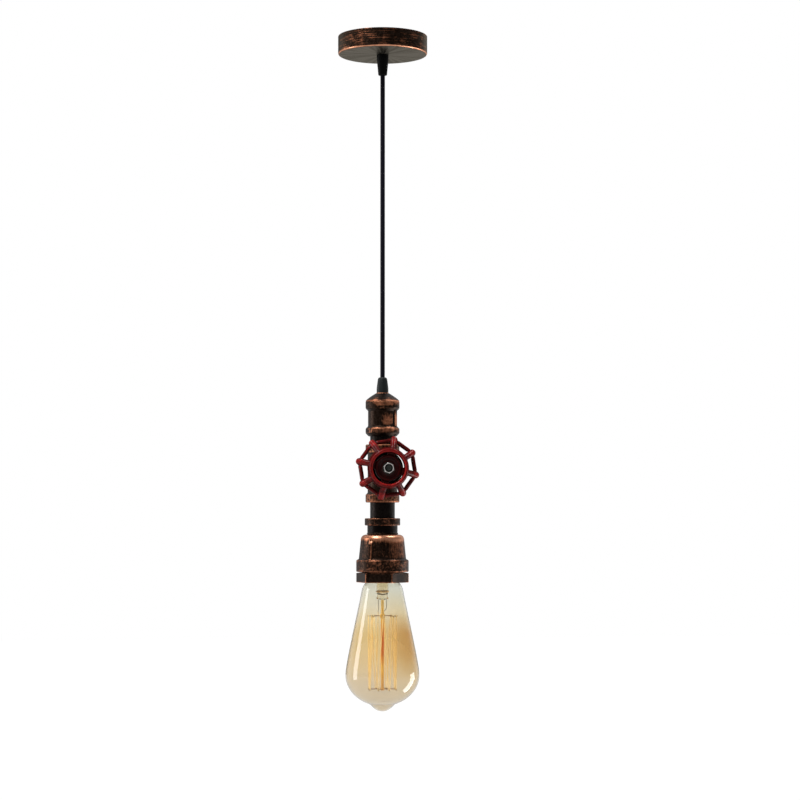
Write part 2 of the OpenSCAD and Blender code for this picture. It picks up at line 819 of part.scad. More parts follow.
module coupling() {
    barrel_r = coupling_barrel_d / 2;
    color("#6b4a3a") difference() {
        union() {
            turned(concat(
                [[0, z_coupling]],
                band_down(z_coupling, band_r, barrel_r),
                band_up(z_coupling_low, band_r, barrel_r, coupling_foot),
                [[0, z_coupling_low]]
            ));
            for (turn = [0, 180])
                rib(coupling_rib_angle + turn, coupling_rib_w, barrel_r, coupling_rib_h,
                    z_coupling - band_h, z_coupling_low + band_h);
        }
        hole(waterway_d / 2, z_coupling, z_coupling_low);
        bar(pipe_hole_r, z_coupling + over, z_coupling - plug_thread_l - thread_relief);
        bar(pipe_hole_r, z_coupling_low + thread_depth + thread_relief, z_coupling_low - over);
    }
}

module pipe_nipple(top, low) {
    difference() {
        bar(pipe_r, top, low);
        hole(pipe_r - pipe_wall, top, low);
    }
}

module upper_pipe_nipple() {
    color("#3a2d26") pipe_nipple(z_coupling_low + thread_depth, z_tee - thread_depth);
}

// Tee, valve and handwheel

module tee() {
    run_r = tee_barrel_d / 2;
    branch_r = branch_barrel_d / 2;
    color("#5a3f32") difference() {
        union() {
            turned(concat(
                [[0, z_tee]],
                band_down(z_tee, band_r, run_r),
                band_up(z_tee_low, band_r, run_r, band_bevel / 2),
                [[0, z_tee_low]]
            ));
            on_valve_axis() turned(concat(
                [[0, tee_reach]], band_down(tee_reach, branch_band_d / 2, branch_r), [[branch_r, 0], [0, 0]]
            ));
        }
        hole(waterway_d / 2, z_tee, z_tee_low);
        bar(pipe_hole_r, z_tee + over, z_tee - thread_depth - thread_relief);
        bar(pipe_hole_r, z_tee_low + thread_depth + thread_relief, z_tee_low - over);
        on_valve_axis() {
            bar(branch_way_d / 2, tee_reach, 0);
            bar(pipe_hole_r, tee_reach + over, bush_back - thread_relief);
        }
    }
}

module branch_bush() {
    front = tee_reach + branch_bush_t;
    color("#4a352a") on_valve_axis() difference() {
        union() {
            bar(pipe_r, tee_reach, bush_back);
            hexagon(branch_bush_af, front, tee_reach);
        }
        hole(stem_r + run_gap, front, bush_back);
    }
}

module gland_nut() {
    color("#4a352a") on_valve_axis()
        nut(gland_af, stem_r + end_gap, gland_front, gland_front - gland_t);
}

module valve_stem() {
    inner = bush_back - end_gap - collar_t;
    tip = nut_front + stem_proud;
    square_end = hub_front - stem_proud;
    color("#56584f") on_valve_axis() difference() {
        union() {
            bar(collar_d / 2, inner + collar_t, inner);
            bar(stem_r, hub_back, inner);
            bar(collar_d / 2, hub_back, hub_back - collar_t);
            translate([-square_w / 2, -square_w / 2, hub_back])
                cube([square_w, square_w, square_end - hub_back]);
            bar(stem_end_d / 2, tip, hub_back);
        }
        translate([-stem_end_d, -stem_slot_w / 2, tip - stem_slot_w])
            cube([2 * stem_end_d, stem_slot_w, stem_slot_w + over]);
    }
}

// Raised ring: a rounded crest with a steep inner wall and a flared outer wall
module wheel_ring() {
    crest = ring_d / 2;
    inner = crest - ring_crest_r;
    foot = inner + ring_foot_w;
    turned(concat(
        arc(crest, ring_crest - ring_crest_r, ring_crest_r, 180, 20),
        [[foot, ring_foot + ring_foot_t], [foot - wheel_edge, ring_foot], [inner, ring_foot]]
    ));
}

// Hub: a boss on a stepped disc
module wheel_hub() {
    disc_r = hub_disc_d / 2;
    boss_r = hub_d / 2;
    back = ring_foot - disc_setback;
    front = back + hub_disc_t;
    face = front - disc_step;
    turned([
        [0, hub_back], [boss_r, hub_back], [boss_r, back], [disc_r - wheel_edge, back],
        [disc_r, back + wheel_edge], [disc_r, front - wheel_edge], [disc_r - wheel_edge, front],
        [disc_r - disc_lip_w, front], [disc_r - disc_lip_w - wheel_edge, face], [boss_r + wheel_edge, face],
        [boss_r, hub_front - wheel_edge], [boss_r - wheel_edge, hub_front], [0, hub_front]
    ]);
}

// Rim bar between two lobes, bowed towards the hub; drawn round the +X axis
module rim_bar() {
    half_chord = lobe_at * sin(180 / spokes);
    bow_r = (pow(half_chord, 2) + pow(rim_bow, 2)) / (2 * rim_bow);
    half_angle = asin(half_chord / bow_r);
    centre = lobe_at * cos(180 / spokes) - rim_bow + bow_r;
    translate([centre, 0, rim_middle]) rotate(180 - half_angle)
        rotate_extrude(angle = 2 * half_angle, $fn = 108) translate([bow_r, 0]) rim_section();
}

module rim_section() {
    flat = rim_depth - rim_t;
    for (side = [-1, 1])
        translate([0, side * flat / 2]) circle(d = rim_t, $fn = 14);
    square([rim_t, flat], center = true);
}

// Spoke that swells from its root at the ring to a round lobe on the rim
module spoke() {
    root = [ring_d / 2 + spoke_out, ring_crest - spoke_drop - spoke_r];
    run = [lobe_at, rim_middle] - root;
    swell = asin((lobe_r - spoke_r) / norm(run));
    translate([root[0], 0, root[1]]) rotate([0, atan2(run[0], run[1]), 0])
        turned(concat(arc(0, 0, spoke_r, -90, -swell), arc(0, norm(run), lobe_r, -swell, 90, 10)));
}

module handwheel() {
    step = 360 / spokes;
    web_angle = spoke_angle + step;
    hole_w = square_w + 2 * square_gap;
    web_root = wheel_edge + disc_step / 2;
    color("#a03028") on_valve_axis() difference() {
        union() {
            wheel_ring();
            wheel_hub();
            for (k = [0:3])
                rotate(web_angle + 90 * k)
                    translate([hub_disc_d / 2 - web_root, -web_w / 2, ring_foot - web_root])
                        cube([(ring_d - hub_disc_d) / 2 + web_root, web_w, web_t]);
            for (k = [0:spokes - 1])
                rotate(spoke_angle + step * k) {
                    spoke();
                    rotate(step / 2) rim_bar();
                }
        }
        translate([-hole_w / 2, -hole_w / 2, hub_back - over]) cube([hole_w, hole_w, hub_l + 2 * over]);
    }
}

module wheel_washer() {
    front = hub_front + wheel_washer_t;
    color("#b8b2aa") on_valve_axis() difference() {
        bar(wheel_washer_d / 2, front, hub_front);
        hole(stem_end_d / 2 + thread_gap, front, hub_front);
    }
}

module wheel_nut() {
    color("#b8b2aa") on_valve_axis()
        nut(wheel_nut_af, stem_end_d / 2 + thread_gap, nut_front, nut_front - wheel_nut_t, nut_angle);
}

// Lower pipe, reducer and bush

module lower_pipe_nipple() {
    color("#1c1613") pipe_nipple(z_tee_low + thread_depth, z_reducer - thread_depth);
}

// Outline of the bell from its shoulder to the skirt, grown outwards by grow
function bell_side(grow) = concat(
    curve(
        [neck_d / 2 + grow, z_bell], [bell_top_d / 2 - shoulder_h / 4 + grow, z_bell],
        [bell_top_d / 2 + grow, z_bell - shoulder_h / 2], [bell_top_d / 2 + grow, z_bell - shoulder_h]
    ),
    [[bell_low_d / 2 + grow, z_skirt + cast_edge]]
);

module bell_rib() {
    span = 2 * asin(bell_rib_w / bell_top_d);
    rib_top = z_bell - shoulder_h / 2;
    outer = [for (p = bell_side(bell_rib_h)) if (p[1] < rib_top) p];
    inner = [for (p = bell_side(-rib_root)) if (p[1] < rib_top) p];
    rotate(-span / 2) rotate_extrude(angle = span) polygon(concat(outer, flip(inner)));
}

module bell_reducer() {
    bead_r = bead_d / 2;
    neck_r = neck_d / 2;
    skirt_r = skirt_d / 2;
    z_bead = z_reducer - bead_h;
    low = z_skirt_low;
    color("#6b4734") difference() {
        union() {
            turned(concat(
                [[0, z_reducer], [bead_r - cast_edge, z_reducer], [bead_r, z_reducer - cast_edge]],
                [[bead_r, z_bead + cast_edge], [bead_r - cast_edge, z_bead], [neck_r, z_bead]],
                [[neck_r, z_bell + 2 * neck_bead_r]],
                arc(neck_r - neck_bead_r / 2, z_bell + neck_bead_r, neck_bead_r, 60, -60),
                bell_side(0),
                [[skirt_r - cast_edge, z_skirt], [skirt_r, z_skirt - cast_edge]],
                [[skirt_r, low + cast_edge], [skirt_r - cast_edge, low], [0, low]]
            ));
            for (turn = [0, 180])
                rotate(bell_rib_angle + turn) bell_rib();
        }
        bar(pipe_hole_r, z_reducer + over, z_reducer - thread_depth - thread_relief);
        turned([
            [0, z_reducer - thread_depth], [pipe_hole_r, z_reducer - thread_depth - thread_relief],
            [bush_hole_r, z_holder - shell_gap], [bush_hole_r, low - over], [0, low - over]
        ]);
    }
}

module hex_bush() {
    corner_r = hex_af / 2 / cos(30);
    color("#4a3a32") difference() {
        union() {
            bar(bush_r, z_spigot, z_hex - over);
            intersection() {
                hexagon(hex_af, z_hex, z_hex_low, hex_angle);
                turned([
                    [0, z_hex], [corner_r - 2 * hex_bevel, z_hex], [corner_r, z_hex - hex_bevel],
                    [corner_r, z_hex_low + hex_bevel], [corner_r - 2 * hex_bevel, z_hex_low], [0, z_hex_low]
                ]);
            }
        }
        hole(bush_bore_r, z_spigot, z_hex_low);
    }
}

// Lampholder and the cable inside the pipes

module holder_body() {
    color("#efece2") difference() {
        bar(holder_d / 2, z_holder, z_spigot);
        bar(bush_bore_r, z_socket, z_spigot - over);
        hole(rivet_d / 2 + thread_gap, z_holder, z_socket);
    }
}

module holder_shell() {
    low = z_hex_low + shell_inset;
    color("#c9a24a") difference() {
        bar(shell_r, z_socket, low);
        hole(shell_r_in, z_socket, low);
    }
}

module centre_contact() {
    color("#c9a24a") {
        bar(contact_d / 2, z_socket, z_socket - contact_t);
        bar(rivet_d / 2, z_holder, z_socket - contact_t / 2);
    }
}

module at_posts() {
    for (side = [-1, 1])
        translate([side * post_x, 0, 0]) children();
}

module holder_terminals() {
    color("#c9a24a") at_posts()
        translate([-post_w / 2, -post_w / 2, z_holder]) cube([post_w, post_w, post_h]);
}

module holder_screws() {
    top = z_holder + post_h;
    color("#b8b8b4") at_posts() difference() {
        bar(post_screw_d / 2, top + post_screw_h, top);
        driver_slot(post_screw_d, top + post_screw_h);
    }
}

// The cable ends above the holder, where its cores spread to the terminals
lead_low = z_holder + core_free_l;
module lamp_lead() {
    color("#1c1b20") bar(cord_d / 2, z_cord_end, lead_low);
}

module lead_cores() {
    inner = post_x - post_w / 2;
    z_end = z_holder + post_h / 2;
    color("#5b3a22") for (side = [-1, 1]) route_tube([
        [side * core_x, 0, lead_low],
        [side * core_x, 0, lead_low - 3],
        [side * (core_x + 0.5), 0, lead_low - 6],
        [side * (core_x + 1.3), 0, z_end + 3],
        [side * (inner - 1.8), 0, z_end + 1],
        [side * (inner - 0.9), 0, z_end],
        [side * inner, 0, z_end]
    ], core_d / 2, core_sides, [0, 1, 0]);
}

// Bulb

module bulb_contact() {
    r = tip_contact_d / 2;
    round = tip_contact_h / 3;
    color("#b9b4aa") turned([
        [0, z_tip_contact], [r - tip_contact_h, z_tip_contact], [r - round, z_tip_contact - round],
        [r, z_insulator + round], [r, z_insulator], [0, z_insulator]
    ]);
}

module bulb_insulator() {
    top_r = (tip_contact_d + insulator_rim) / 2;
    low_r = cap_r - cap_bevel;
    color("#1a1a1c") turned([
        [0, z_insulator], [top_r, z_insulator], [low_r, z_cap + insulator_rim / 2], [low_r, z_cap], [0, z_cap]
    ]);
}

module bulb_cap() {
    inner_r = cap_r - cap_wall;
    lip_r = cap_r - cap_lip_w;
    inset = cap_bevel + cap_wall / 2;
    color("#c9a24a") turned([
        [lip_r, z_cap], [cap_r - cap_bevel, z_cap], [cap_r, z_cap - cap_bevel], [cap_r, z_glass],
        [inner_r, z_glass], [inner_r, z_cap - inset], [cap_r - inset, z_cap - cap_wall],
        [lip_r, z_cap - cap_wall]
    ]);
}

// Profile of the glass from its neck to the round bottom, drawn in by inset
function glass_side(inset) =
    let (
        neck = neck_r - inset,
        shoulder = [shoulder_d / 2 - inset, z_glass - shoulder_drop],
        belly = [glass_d / 2 - inset, z_glass - belly_drop]
    ) concat(
        [[neck, z_glass + glass_neck_l]],
        curve(
            [neck, z_glass], [neck + neck_flare, z_glass],
            [shoulder[0] - neck_flare / 3, z_glass - shoulder_drop / 2], shoulder, 6
        ),
        curve(shoulder, shoulder + flank_pull, belly + [0, belly_pull], belly, 14)
    );

// Round bottom from the belly inwards to radius low_r
function glass_bottom(inset, low_r) =
    let (a = glass_d / 2 - inset, b = belly_h - inset, stop = acos(low_r / a))
        [for (i = [1:10]) [a * cos(stop * i / 10), z_glass - belly_drop - b * sin(stop * i / 10)]];

module bulb_glass() {
    outer_low = glass_bottom(0, tip_root_d / 2);
    root = outer_low[len(outer_low) - 1];
    tip = [0, z_glass - glass_l];
    inner_low = glass_bottom(glass_wall, 0);
    color("#d9b070", 0.5) turned(concat(
        glass_side(0),
        outer_low,
        curve(root, root + [-4.5, -1.6], tip + [6.5, 0], tip, 8),
        flip(inner_low),
        flip(glass_side(glass_wall))
    ));
}

// Flared glass tube sealed to the neck, with the flat press that holds the wires
module bulb_stem() {
    top = z_glass + glass_neck_l;
    stem_low = z_glass - stem_drop;
    color("#e4e0d0", 0.6) union() {
        turned(concat(
            [[0, top + 1], [neck_r, top + 1], [neck_r, top]],
            curve([neck_r - glass_wall, top], [glass_stem_d / 2 + 1, top - 1], [glass_stem_d / 2, top - 4],
                [glass_stem_d / 2, top - 8]),
            [[glass_stem_d / 2, stem_low], [0, stem_low]]
        ));
        translate([-press_w / 2, -press_t / 2, z_press]) cube([press_w, press_t, press_l + over]);
    }
}

module support_rod() {
    color("#b86a24", 0.8) {
        bar(rod_d / 2, z_press, z_rod_low);
        translate([0, 0, z_upper_hooks]) sphere(d = bead_ball_d);
        translate([0, 0, z_lower_hooks]) sphere(d = rod_d + 1);
    }
}

// Ring of radial support wires, held in the rod
module hook_ring(z, turn) {
    step = 360 / hooks;
    for (k = [0:hooks - 1])
        rotate(turn + step * k) translate([rod_d / 2 - hook_root, 0, z]) rotate([0, 90, 0])
            cylinder(h = cage_r + hook_end + hook_root - rod_d / 2, d = hook_wire_d);
}

module upper_hooks() {
    color("#7a6a50") hook_ring(z_upper_hooks, 90);
}

module lower_hooks() {
    color("#7a6a50") hook_ring(z_lower_hooks, 90 + 180 / hooks);
}

// Point on the cage at an angle, with a sideways offset along its surface
function on_cage(angle, offset, z) = [
    cage_r * cos(angle + offset / cage_r * 180 / PI), cage_r * sin(angle + offset / cage_r * 180 / PI), z
];

// The filament turns over each upper hook and under each lower hook, from one lead-in wire round to the other
turn_r = hook_wire_d / 2 + filament_d / 2 + filament_gap;
function hook_turn(angle, z, up) = [
    for (t = [-90:45:90]) on_cage(angle, turn_r * sin(t), z + up * turn_r * cos(t))
];
lead_tip_angle = 90 + lead_turn;
lead_tip_z = z_upper_hooks + lead_rise;
function filament_route() =
    let (step = 360 / hooks) concat(
        [on_cage(lead_tip_angle, 0, lead_tip_z)],
        [
            for (k = [0:hooks - 1], upper = [0, 1])
                if (upper == 0 || k < hooks - 1)
                    let (
                        angle = 90 + step * (k + 0.5 + upper / 2),
                        z = upper == 0 ? z_lower_hooks : z_upper_hooks
                    )
                        each hook_turn(angle, z, 2 * upper - 1)
        ],
        [on_cage(360 + 180 - lead_tip_angle, 0, lead_tip_z)]
    );

// A wire whose rings all lie level suits the steep zig-zag of the filament
module filament() {
    color("#d08a3a") route_tube(filament_route(), filament_d / 2, wire_sides, [0, 0, 1]);
}

module lead_in_wires() {
    x = press_w / 2 - 0.8;
    end = on_cage(lead_tip_angle, 0, lead_tip_z + filament_d);
    color("#8a7f6c") for (side = [-1, 1]) route_tube([
        [side * x, 0, z_press],
        [side * x, 0, lead_tip_z + 5],
        [side * (x - 0.4), 1.2, lead_tip_z + 3.4],
        [side * (-end[0] + 0.2), end[1] - 1, end[2] + 0.8],
        [side * -end[0], end[1], end[2]]
    ], lead_wire_d / 2, wire_sides, [1, 0, 0]);
}

ceiling_rose();
mounting_bracket();
rose_nipple();
rose_nipple_nuts();
terminal_block();
terminal_screws();
rose_cores();
upper_cord_grip();
upper_grip_screw();
cord_entry();
cord_top();
cord();
lower_cord_grip();
lower_grip_screw();
grip_washer();
lamp_nipple();
lamp_nipple_nut();
dome_plug();
coupling();
upper_pipe_nipple();
tee();
branch_bush();
gland_nut();
valve_stem();
handwheel();
wheel_washer();
wheel_nut();
lower_pipe_nipple();
bell_reducer();
hex_bush();
holder_body();
holder_shell();
centre_contact();
holder_terminals();
holder_screws();
lamp_lead();
lead_cores();
bulb_contact();
bulb_insulator();
bulb_cap();
bulb_glass();
bulb_stem();
lead_in_wires();
support_rod();
upper_hooks();
lower_hooks();
filament();
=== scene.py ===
"""Looks of the pendant light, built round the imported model's frame. Lengths are in metres."""

import math

import bmesh
import bpy
from mathutils import Matrix, Vector, noise


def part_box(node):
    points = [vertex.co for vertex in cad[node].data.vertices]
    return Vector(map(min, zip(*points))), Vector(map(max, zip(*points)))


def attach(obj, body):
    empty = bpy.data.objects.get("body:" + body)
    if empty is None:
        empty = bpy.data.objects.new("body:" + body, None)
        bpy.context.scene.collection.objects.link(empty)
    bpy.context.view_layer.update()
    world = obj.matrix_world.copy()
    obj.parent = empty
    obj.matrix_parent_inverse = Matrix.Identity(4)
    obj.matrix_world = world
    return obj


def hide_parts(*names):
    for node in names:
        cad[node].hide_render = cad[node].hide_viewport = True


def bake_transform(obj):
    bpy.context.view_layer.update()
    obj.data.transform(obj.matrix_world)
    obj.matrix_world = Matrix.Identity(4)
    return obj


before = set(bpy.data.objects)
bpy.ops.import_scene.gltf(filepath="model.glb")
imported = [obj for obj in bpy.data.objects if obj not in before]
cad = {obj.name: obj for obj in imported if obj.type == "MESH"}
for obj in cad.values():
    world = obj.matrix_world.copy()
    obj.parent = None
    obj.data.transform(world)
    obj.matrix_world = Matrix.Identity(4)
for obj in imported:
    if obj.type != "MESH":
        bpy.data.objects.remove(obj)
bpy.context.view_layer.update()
scene = bpy.context.scene
MM = 0.001

# Camera, as read from the photograph: picture size, focal length and places are in its pixels
PICTURE = 800
FOCAL = 2180
AXIS_AT = 382.5
EYE_LEVEL_AT = 510
CAMERA_DISTANCE = 1.8796
CAMERA_HEIGHT = -0.4114
CAMERA_TURN = math.radians(-6)

# Cord: the source's points, in millimetres from the upper grip's mouth, and one more where it is divided here
CORD_D = 4 * MM
MOUTH_Z = -34 * MM
CORD_TOP_ROUTE = [0, -10, -20, -30, -32]
CORD_ROUTE = [
    -32, -40, -52, -64, -76, -88, -100, -112, -124, -136, -148,
    -160, -172, -184, -196, -208, -220, -232, -244, -254, -263,
]


# Outlines and meshes

def arc(x, y, r, start, stop, steps=8):
    """Points on an arc between two angles in degrees."""
    turns = [math.radians(start + (stop - start) * i / steps) for i in range(steps + 1)]
    return [(x + r * math.cos(t), y + r * math.sin(t)) for t in turns]


def curve(p, q, r, s, steps=16):
    """Points on a cubic curve from p to s, drawn towards q and r."""
    p, q, r, s = (Vector(v) for v in (p, q, r, s))
    out = []
    for i in range(steps + 1):
        t = i / steps
        u = 1 - t
        out.append(tuple(u * u * u * p + 3 * u * u * t * q + 3 * u * t * t * r + t * t * t * s))
    return out


def rounded(corners, steps=4):
    """Outline from corners (radius, height, rounding); a corner without rounding stays sharp."""
    out = []
    for i, corner in enumerate(corners):
        here = Vector(corner[:2])
        rounding = corner[2] if len(corner) > 2 else 0
        if not rounding:
            out.append(tuple(here))
            continue
        before = Vector(corners[i - 1][:2]) - here
        after = Vector(corners[(i + 1) % len(corners)][:2]) - here
        a = here + before.normalized() * min(rounding, 0.48 * before.length)
        b = here + after.normalized() * min(rounding, 0.48 * after.length)
        for k in range(steps + 1):
            t = k / steps
            out.append(tuple(a.lerp(here, t).lerp(here.lerp(b, t), t)))
    return out


def finer(outline, step):
    """The closed outline with no stretch longer than step."""
    out = []
    for i, p in enumerate(outline):
        p, q = Vector(p), Vector(outline[(i + 1) % len(outline)])
        count = max(1, math.ceil((q - p).length / step))
        out += [tuple(p.lerp(q, k / count)) for k in range(count)]
    return out


def to_object(name, bm, crease=35):
    """Object from a bmesh, smooth but for edges that are sharper than the crease angle."""
    bmesh.ops.remove_doubles(bm, verts=bm.verts, dist=1e-7)
    bmesh.ops.recalc_face_normals(bm, faces=bm.faces)
    mesh = bpy.data.meshes.new(name)
    bm.to_mesh(mesh)
    bm.free()
    mesh.shade_smooth()
    mesh.set_sharp_from_angle(angle=math.radians(crease))
    obj = bpy.data.objects.new(name, mesh)
    scene.collection.objects.link(obj)
    return obj


def lathe(name, outline, turns, shape=None, step=1.2 * MM, crease=35):
    """Body of revolution of a closed outline about Z; shape(angle, r, z) may return another radius."""
    bm = bmesh.new()
    rings = []
    for r, z in finer(outline, step):
        ring = []
        for j in range(turns):
            t = 2 * math.pi * j / turns
            radius = shape(t, r, z) if shape else r
            ring.append(bm.verts.new((radius * math.cos(t), radius * math.sin(t), z)))
        rings.append(ring)
    for i, ring in enumerate(rings):
        after = rings[(i + 1) % len(rings)]
        for j in range(turns):
            k = (j + 1) % turns
            bm.faces.new((ring[j], ring[k], after[k], after[j]))
    return to_object(name, bm, crease)


def tube_into(bm, path, radius, sides):
    """Adds a round tube along the points of a path; radius may be one number or one for each point."""
    path = [Vector(p) for p in path]
    radii = radius if isinstance(radius, list) else [radius] * len(path)
    across = None
    rings = []
    for i, p in enumerate(path):
        along = (path[min(i + 1, len(path) - 1)] - path[max(i - 1, 0)]).normalized()
        if across is None:
            across = along.orthogonal().normalized()
        across = (across - along * across.dot(along)).normalized()
        other = along.cross(across)
        turns = [2 * math.pi * j / sides for j in range(sides)]
        spokes = [across * math.cos(t) + other * math.sin(t) for t in turns]
        rings.append([bm.verts.new(p + radii[i] * s) for s in spokes])
    for a, b in zip(rings, rings[1:]):
        for j in range(sides):
            k = (j + 1) % sides
            bm.faces.new((a[j], a[k], b[k], b[j]))
    bm.faces.new(reversed(rings[0]))
    bm.faces.new(rings[-1])


def smooth_path(points, steps):
    """Path through the points on one smooth line, with steps to each stretch."""
    pts = [Vector(p) for p in points]
    out = []
    for i in range(len(pts) - 1):
        a, b, c, d = (pts[min(max(i + k, 0), len(pts) - 1)] for k in (-1, 0, 1, 2))
        for s in range(steps):
            t = s / steps
            out.append(0.5 * (
                2 * b + (c - a) * t + (2 * a - 5 * b + 4 * c - d) * t * t
                + (3 * b - a - 3 * c + d) * t * t * t
            ))
    return out + [pts[-1]]


def casting(name, node, voxel, rounds):
    """Copy of a CAD node, remeshed and smoothed so that its forms flow together as a casting's do."""
    source = cad[node].data.copy()
    bm = bmesh.new()
    bm.from_mesh(source)
    bmesh.ops.remove_doubles(bm, verts=bm.verts, dist=1e-6)
    bm.to_mesh(source)
    bm.free()
    rough = bpy.data.objects.new(name + "_rough", source)
    scene.collection.objects.link(rough)
    remesh = rough.modifiers.new("remesh", "REMESH")
    remesh.mode = "VOXEL"
    remesh.voxel_size = voxel
    smooth = rough.modifiers.new("smooth", "SMOOTH")
    smooth.factor = 0.5
    smooth.iterations = rounds
    bpy.context.view_layer.update()
    mesh = bpy.data.meshes.new_from_object(rough.evaluated_get(bpy.context.evaluated_depsgraph_get()))
    bpy.data.objects.remove(rough)
    mesh.materials.clear()
    mesh.shade_smooth()
    obj = bpy.data.objects.new(name, mesh)
    scene.collection.objects.link(obj)
    return obj


def wear_and_painted_light(obj, rub_and_painted_light, edge=1.0, spread=2):
    """Writes how far the finish is rubbed, from the convex edges and from rub(point), as a point attribute;
    on some parts rub(point) also paints highlights and shade into it.
    """
    gain = 6 * edge
    bm = bmesh.new()
    bm.from_mesh(obj.data)
    bm.normal_update()
    worn_and_lit = []
    near = []
    for v in bm.verts:
        others = [e.other_vert(v) for e in v.link_edges]
        bend = -sum(v.normal.dot((o.co - v.co).normalized()) for o in others) / len(others)
        worn_and_lit.append(max(-1.0, min(1.0, gain * bend)))
        near.append([o.index for o in others])
    for _ in range(spread):
        worn_and_lit = [0.5 * w + 0.5 * sum(worn_and_lit[i] for i in ring) / len(ring) for w, ring in zip(worn_and_lit, near)]
    worn_and_lit = [w + rub_and_painted_light(v.co) for w, v in zip(worn_and_lit, bm.verts)]
    bm.free()
    attribute = obj.data.attributes.new("wear_and_painted_light", "FLOAT", "POINT")
    attribute.data.foreach_set("value", worn_and_lit)
    return obj


def dress(obj, body, slot, material, *replaced):
    """Gives a finished piece its material, hides the CAD nodes it stands for and puts it on the body it rides
    on; slot is not used.
    """
    obj.data.materials.append(material)
    if replaced:
        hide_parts(*replaced)
    if body:
        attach(obj, body)


# Shapes of worn places and of painted highlights and shade

def step_up(x, low, high):
    """Smooth step from 0 below low to 1 above high."""
    t = min(1.0, max(0.0, (x - low) / (high - low)))
    return t * t * (3 - 2 * t)


def bump_at(x, middle, width):
    """Smooth bump of height 1 at middle, 0 beyond width on either side."""
    return 1 - step_up(abs(x - middle), 0.3 * width, width)


def heading(p):
    """Direction of a point about Z, in radians."""
    return math.atan2(p.y, p.x)


def turn_gap(t, angle):
    """Degrees, from 0 to 180, between a direction in radians and an angle in degrees."""
    return abs((math.degrees(t) - angle + 180) % 360 - 180)


def nearest_gap(t, angles):
    """The least of the gaps between a direction and some angles."""
    return min(turn_gap(t, a) for a in angles)


def hex_radius(t, half, first_corner):
    """Radius in a direction of a hexagon that is 2 half wide across its flats."""
    off = (math.degrees(t) - first_corner) % 60 - 30
    return half / math.cos(math.radians(off))


# Materials

def put(tree, kind, inputs=None, **settings):
    """New node with its settings and inputs; an input that is a socket is linked."""
    node = tree.nodes.new(kind)
    for key, value in settings.items():
        setattr(node, key, value)
    for key, value in (inputs or {}).items():
        if isinstance(value, bpy.types.NodeSocket):
            tree.links.new(value, node.inputs[key])
        else:
            node.inputs[key].default_value = value
    return node


def shader(name, **sockets):
    """Material with one Principled shader and its constant sockets set; returns material, tree and shader."""
    material = bpy.data.materials.new(name)
    material.use_nodes = True
    tree = material.node_tree
    bsdf = tree.nodes["Principled BSDF"]
    for key, value in sockets.items():
        bsdf.inputs[key.replace("_", " ")].default_value = value
    return material, tree, bsdf


def maths(tree, operation, a, b):
    node = put(tree, "ShaderNodeMath", {0: a, 1: b}, operation=operation)
    return node.outputs[0]


def between(tree, value, low, high, out_low=0.0, out_high=1.0):
    """Smooth step of a value from out_low to out_high."""
    node = put(tree, "ShaderNodeMapRange", {
        "Value": value, "From Min": low, "From Max": high, "To Min": out_low, "To Max": out_high,
    }, interpolation_type="SMOOTHSTEP")
    return node.outputs["Result"]


# Places of the Mix node's sockets: inputs and output for colours, and inputs for plain numbers
COLOUR_A, COLOUR_B, COLOUR_OUT = 6, 7, 2
NUMBER_A, NUMBER_B = 2, 3


def blend_colours(tree, share, a, b, blend_type="MIX"):
    sockets = {"Factor": share, COLOUR_A: a, COLOUR_B: b}
    node = put(tree, "ShaderNodeMix", sockets, data_type="RGBA", blend_type=blend_type)
    return node.outputs[COLOUR_OUT]


def grain(tree, scale, detail, stretch=(1, 1, 1), rough=0.55, distort=0.0):
    """Noise in the object's own coordinates, drawn out along its axes by stretch."""
    where = put(tree, "ShaderNodeTexCoord").outputs["Object"]
    mapped = put(tree, "ShaderNodeMapping", {"Vector": where, "Scale": stretch}).outputs["Vector"]
    node = put(tree, "ShaderNodeTexNoise", {
        "Vector": mapped, "Scale": scale, "Detail": detail, "Roughness": rough, "Distortion": distort,
    })
    return node.outputs["Fac"]


def about_zero(tree, texture, size):
    """Noise moved from about 0.5 to about 0, times a size."""
    return maths(tree, "MULTIPLY", maths(tree, "SUBTRACT", texture, 0.5), size)


def bump(tree, bsdf, height, strength, distance):
    node = put(tree, "ShaderNodeBump", {"Height": height, "Strength": strength, "Distance": distance})
    tree.links.new(node.outputs["Normal"], bsdf.inputs["Normal"])


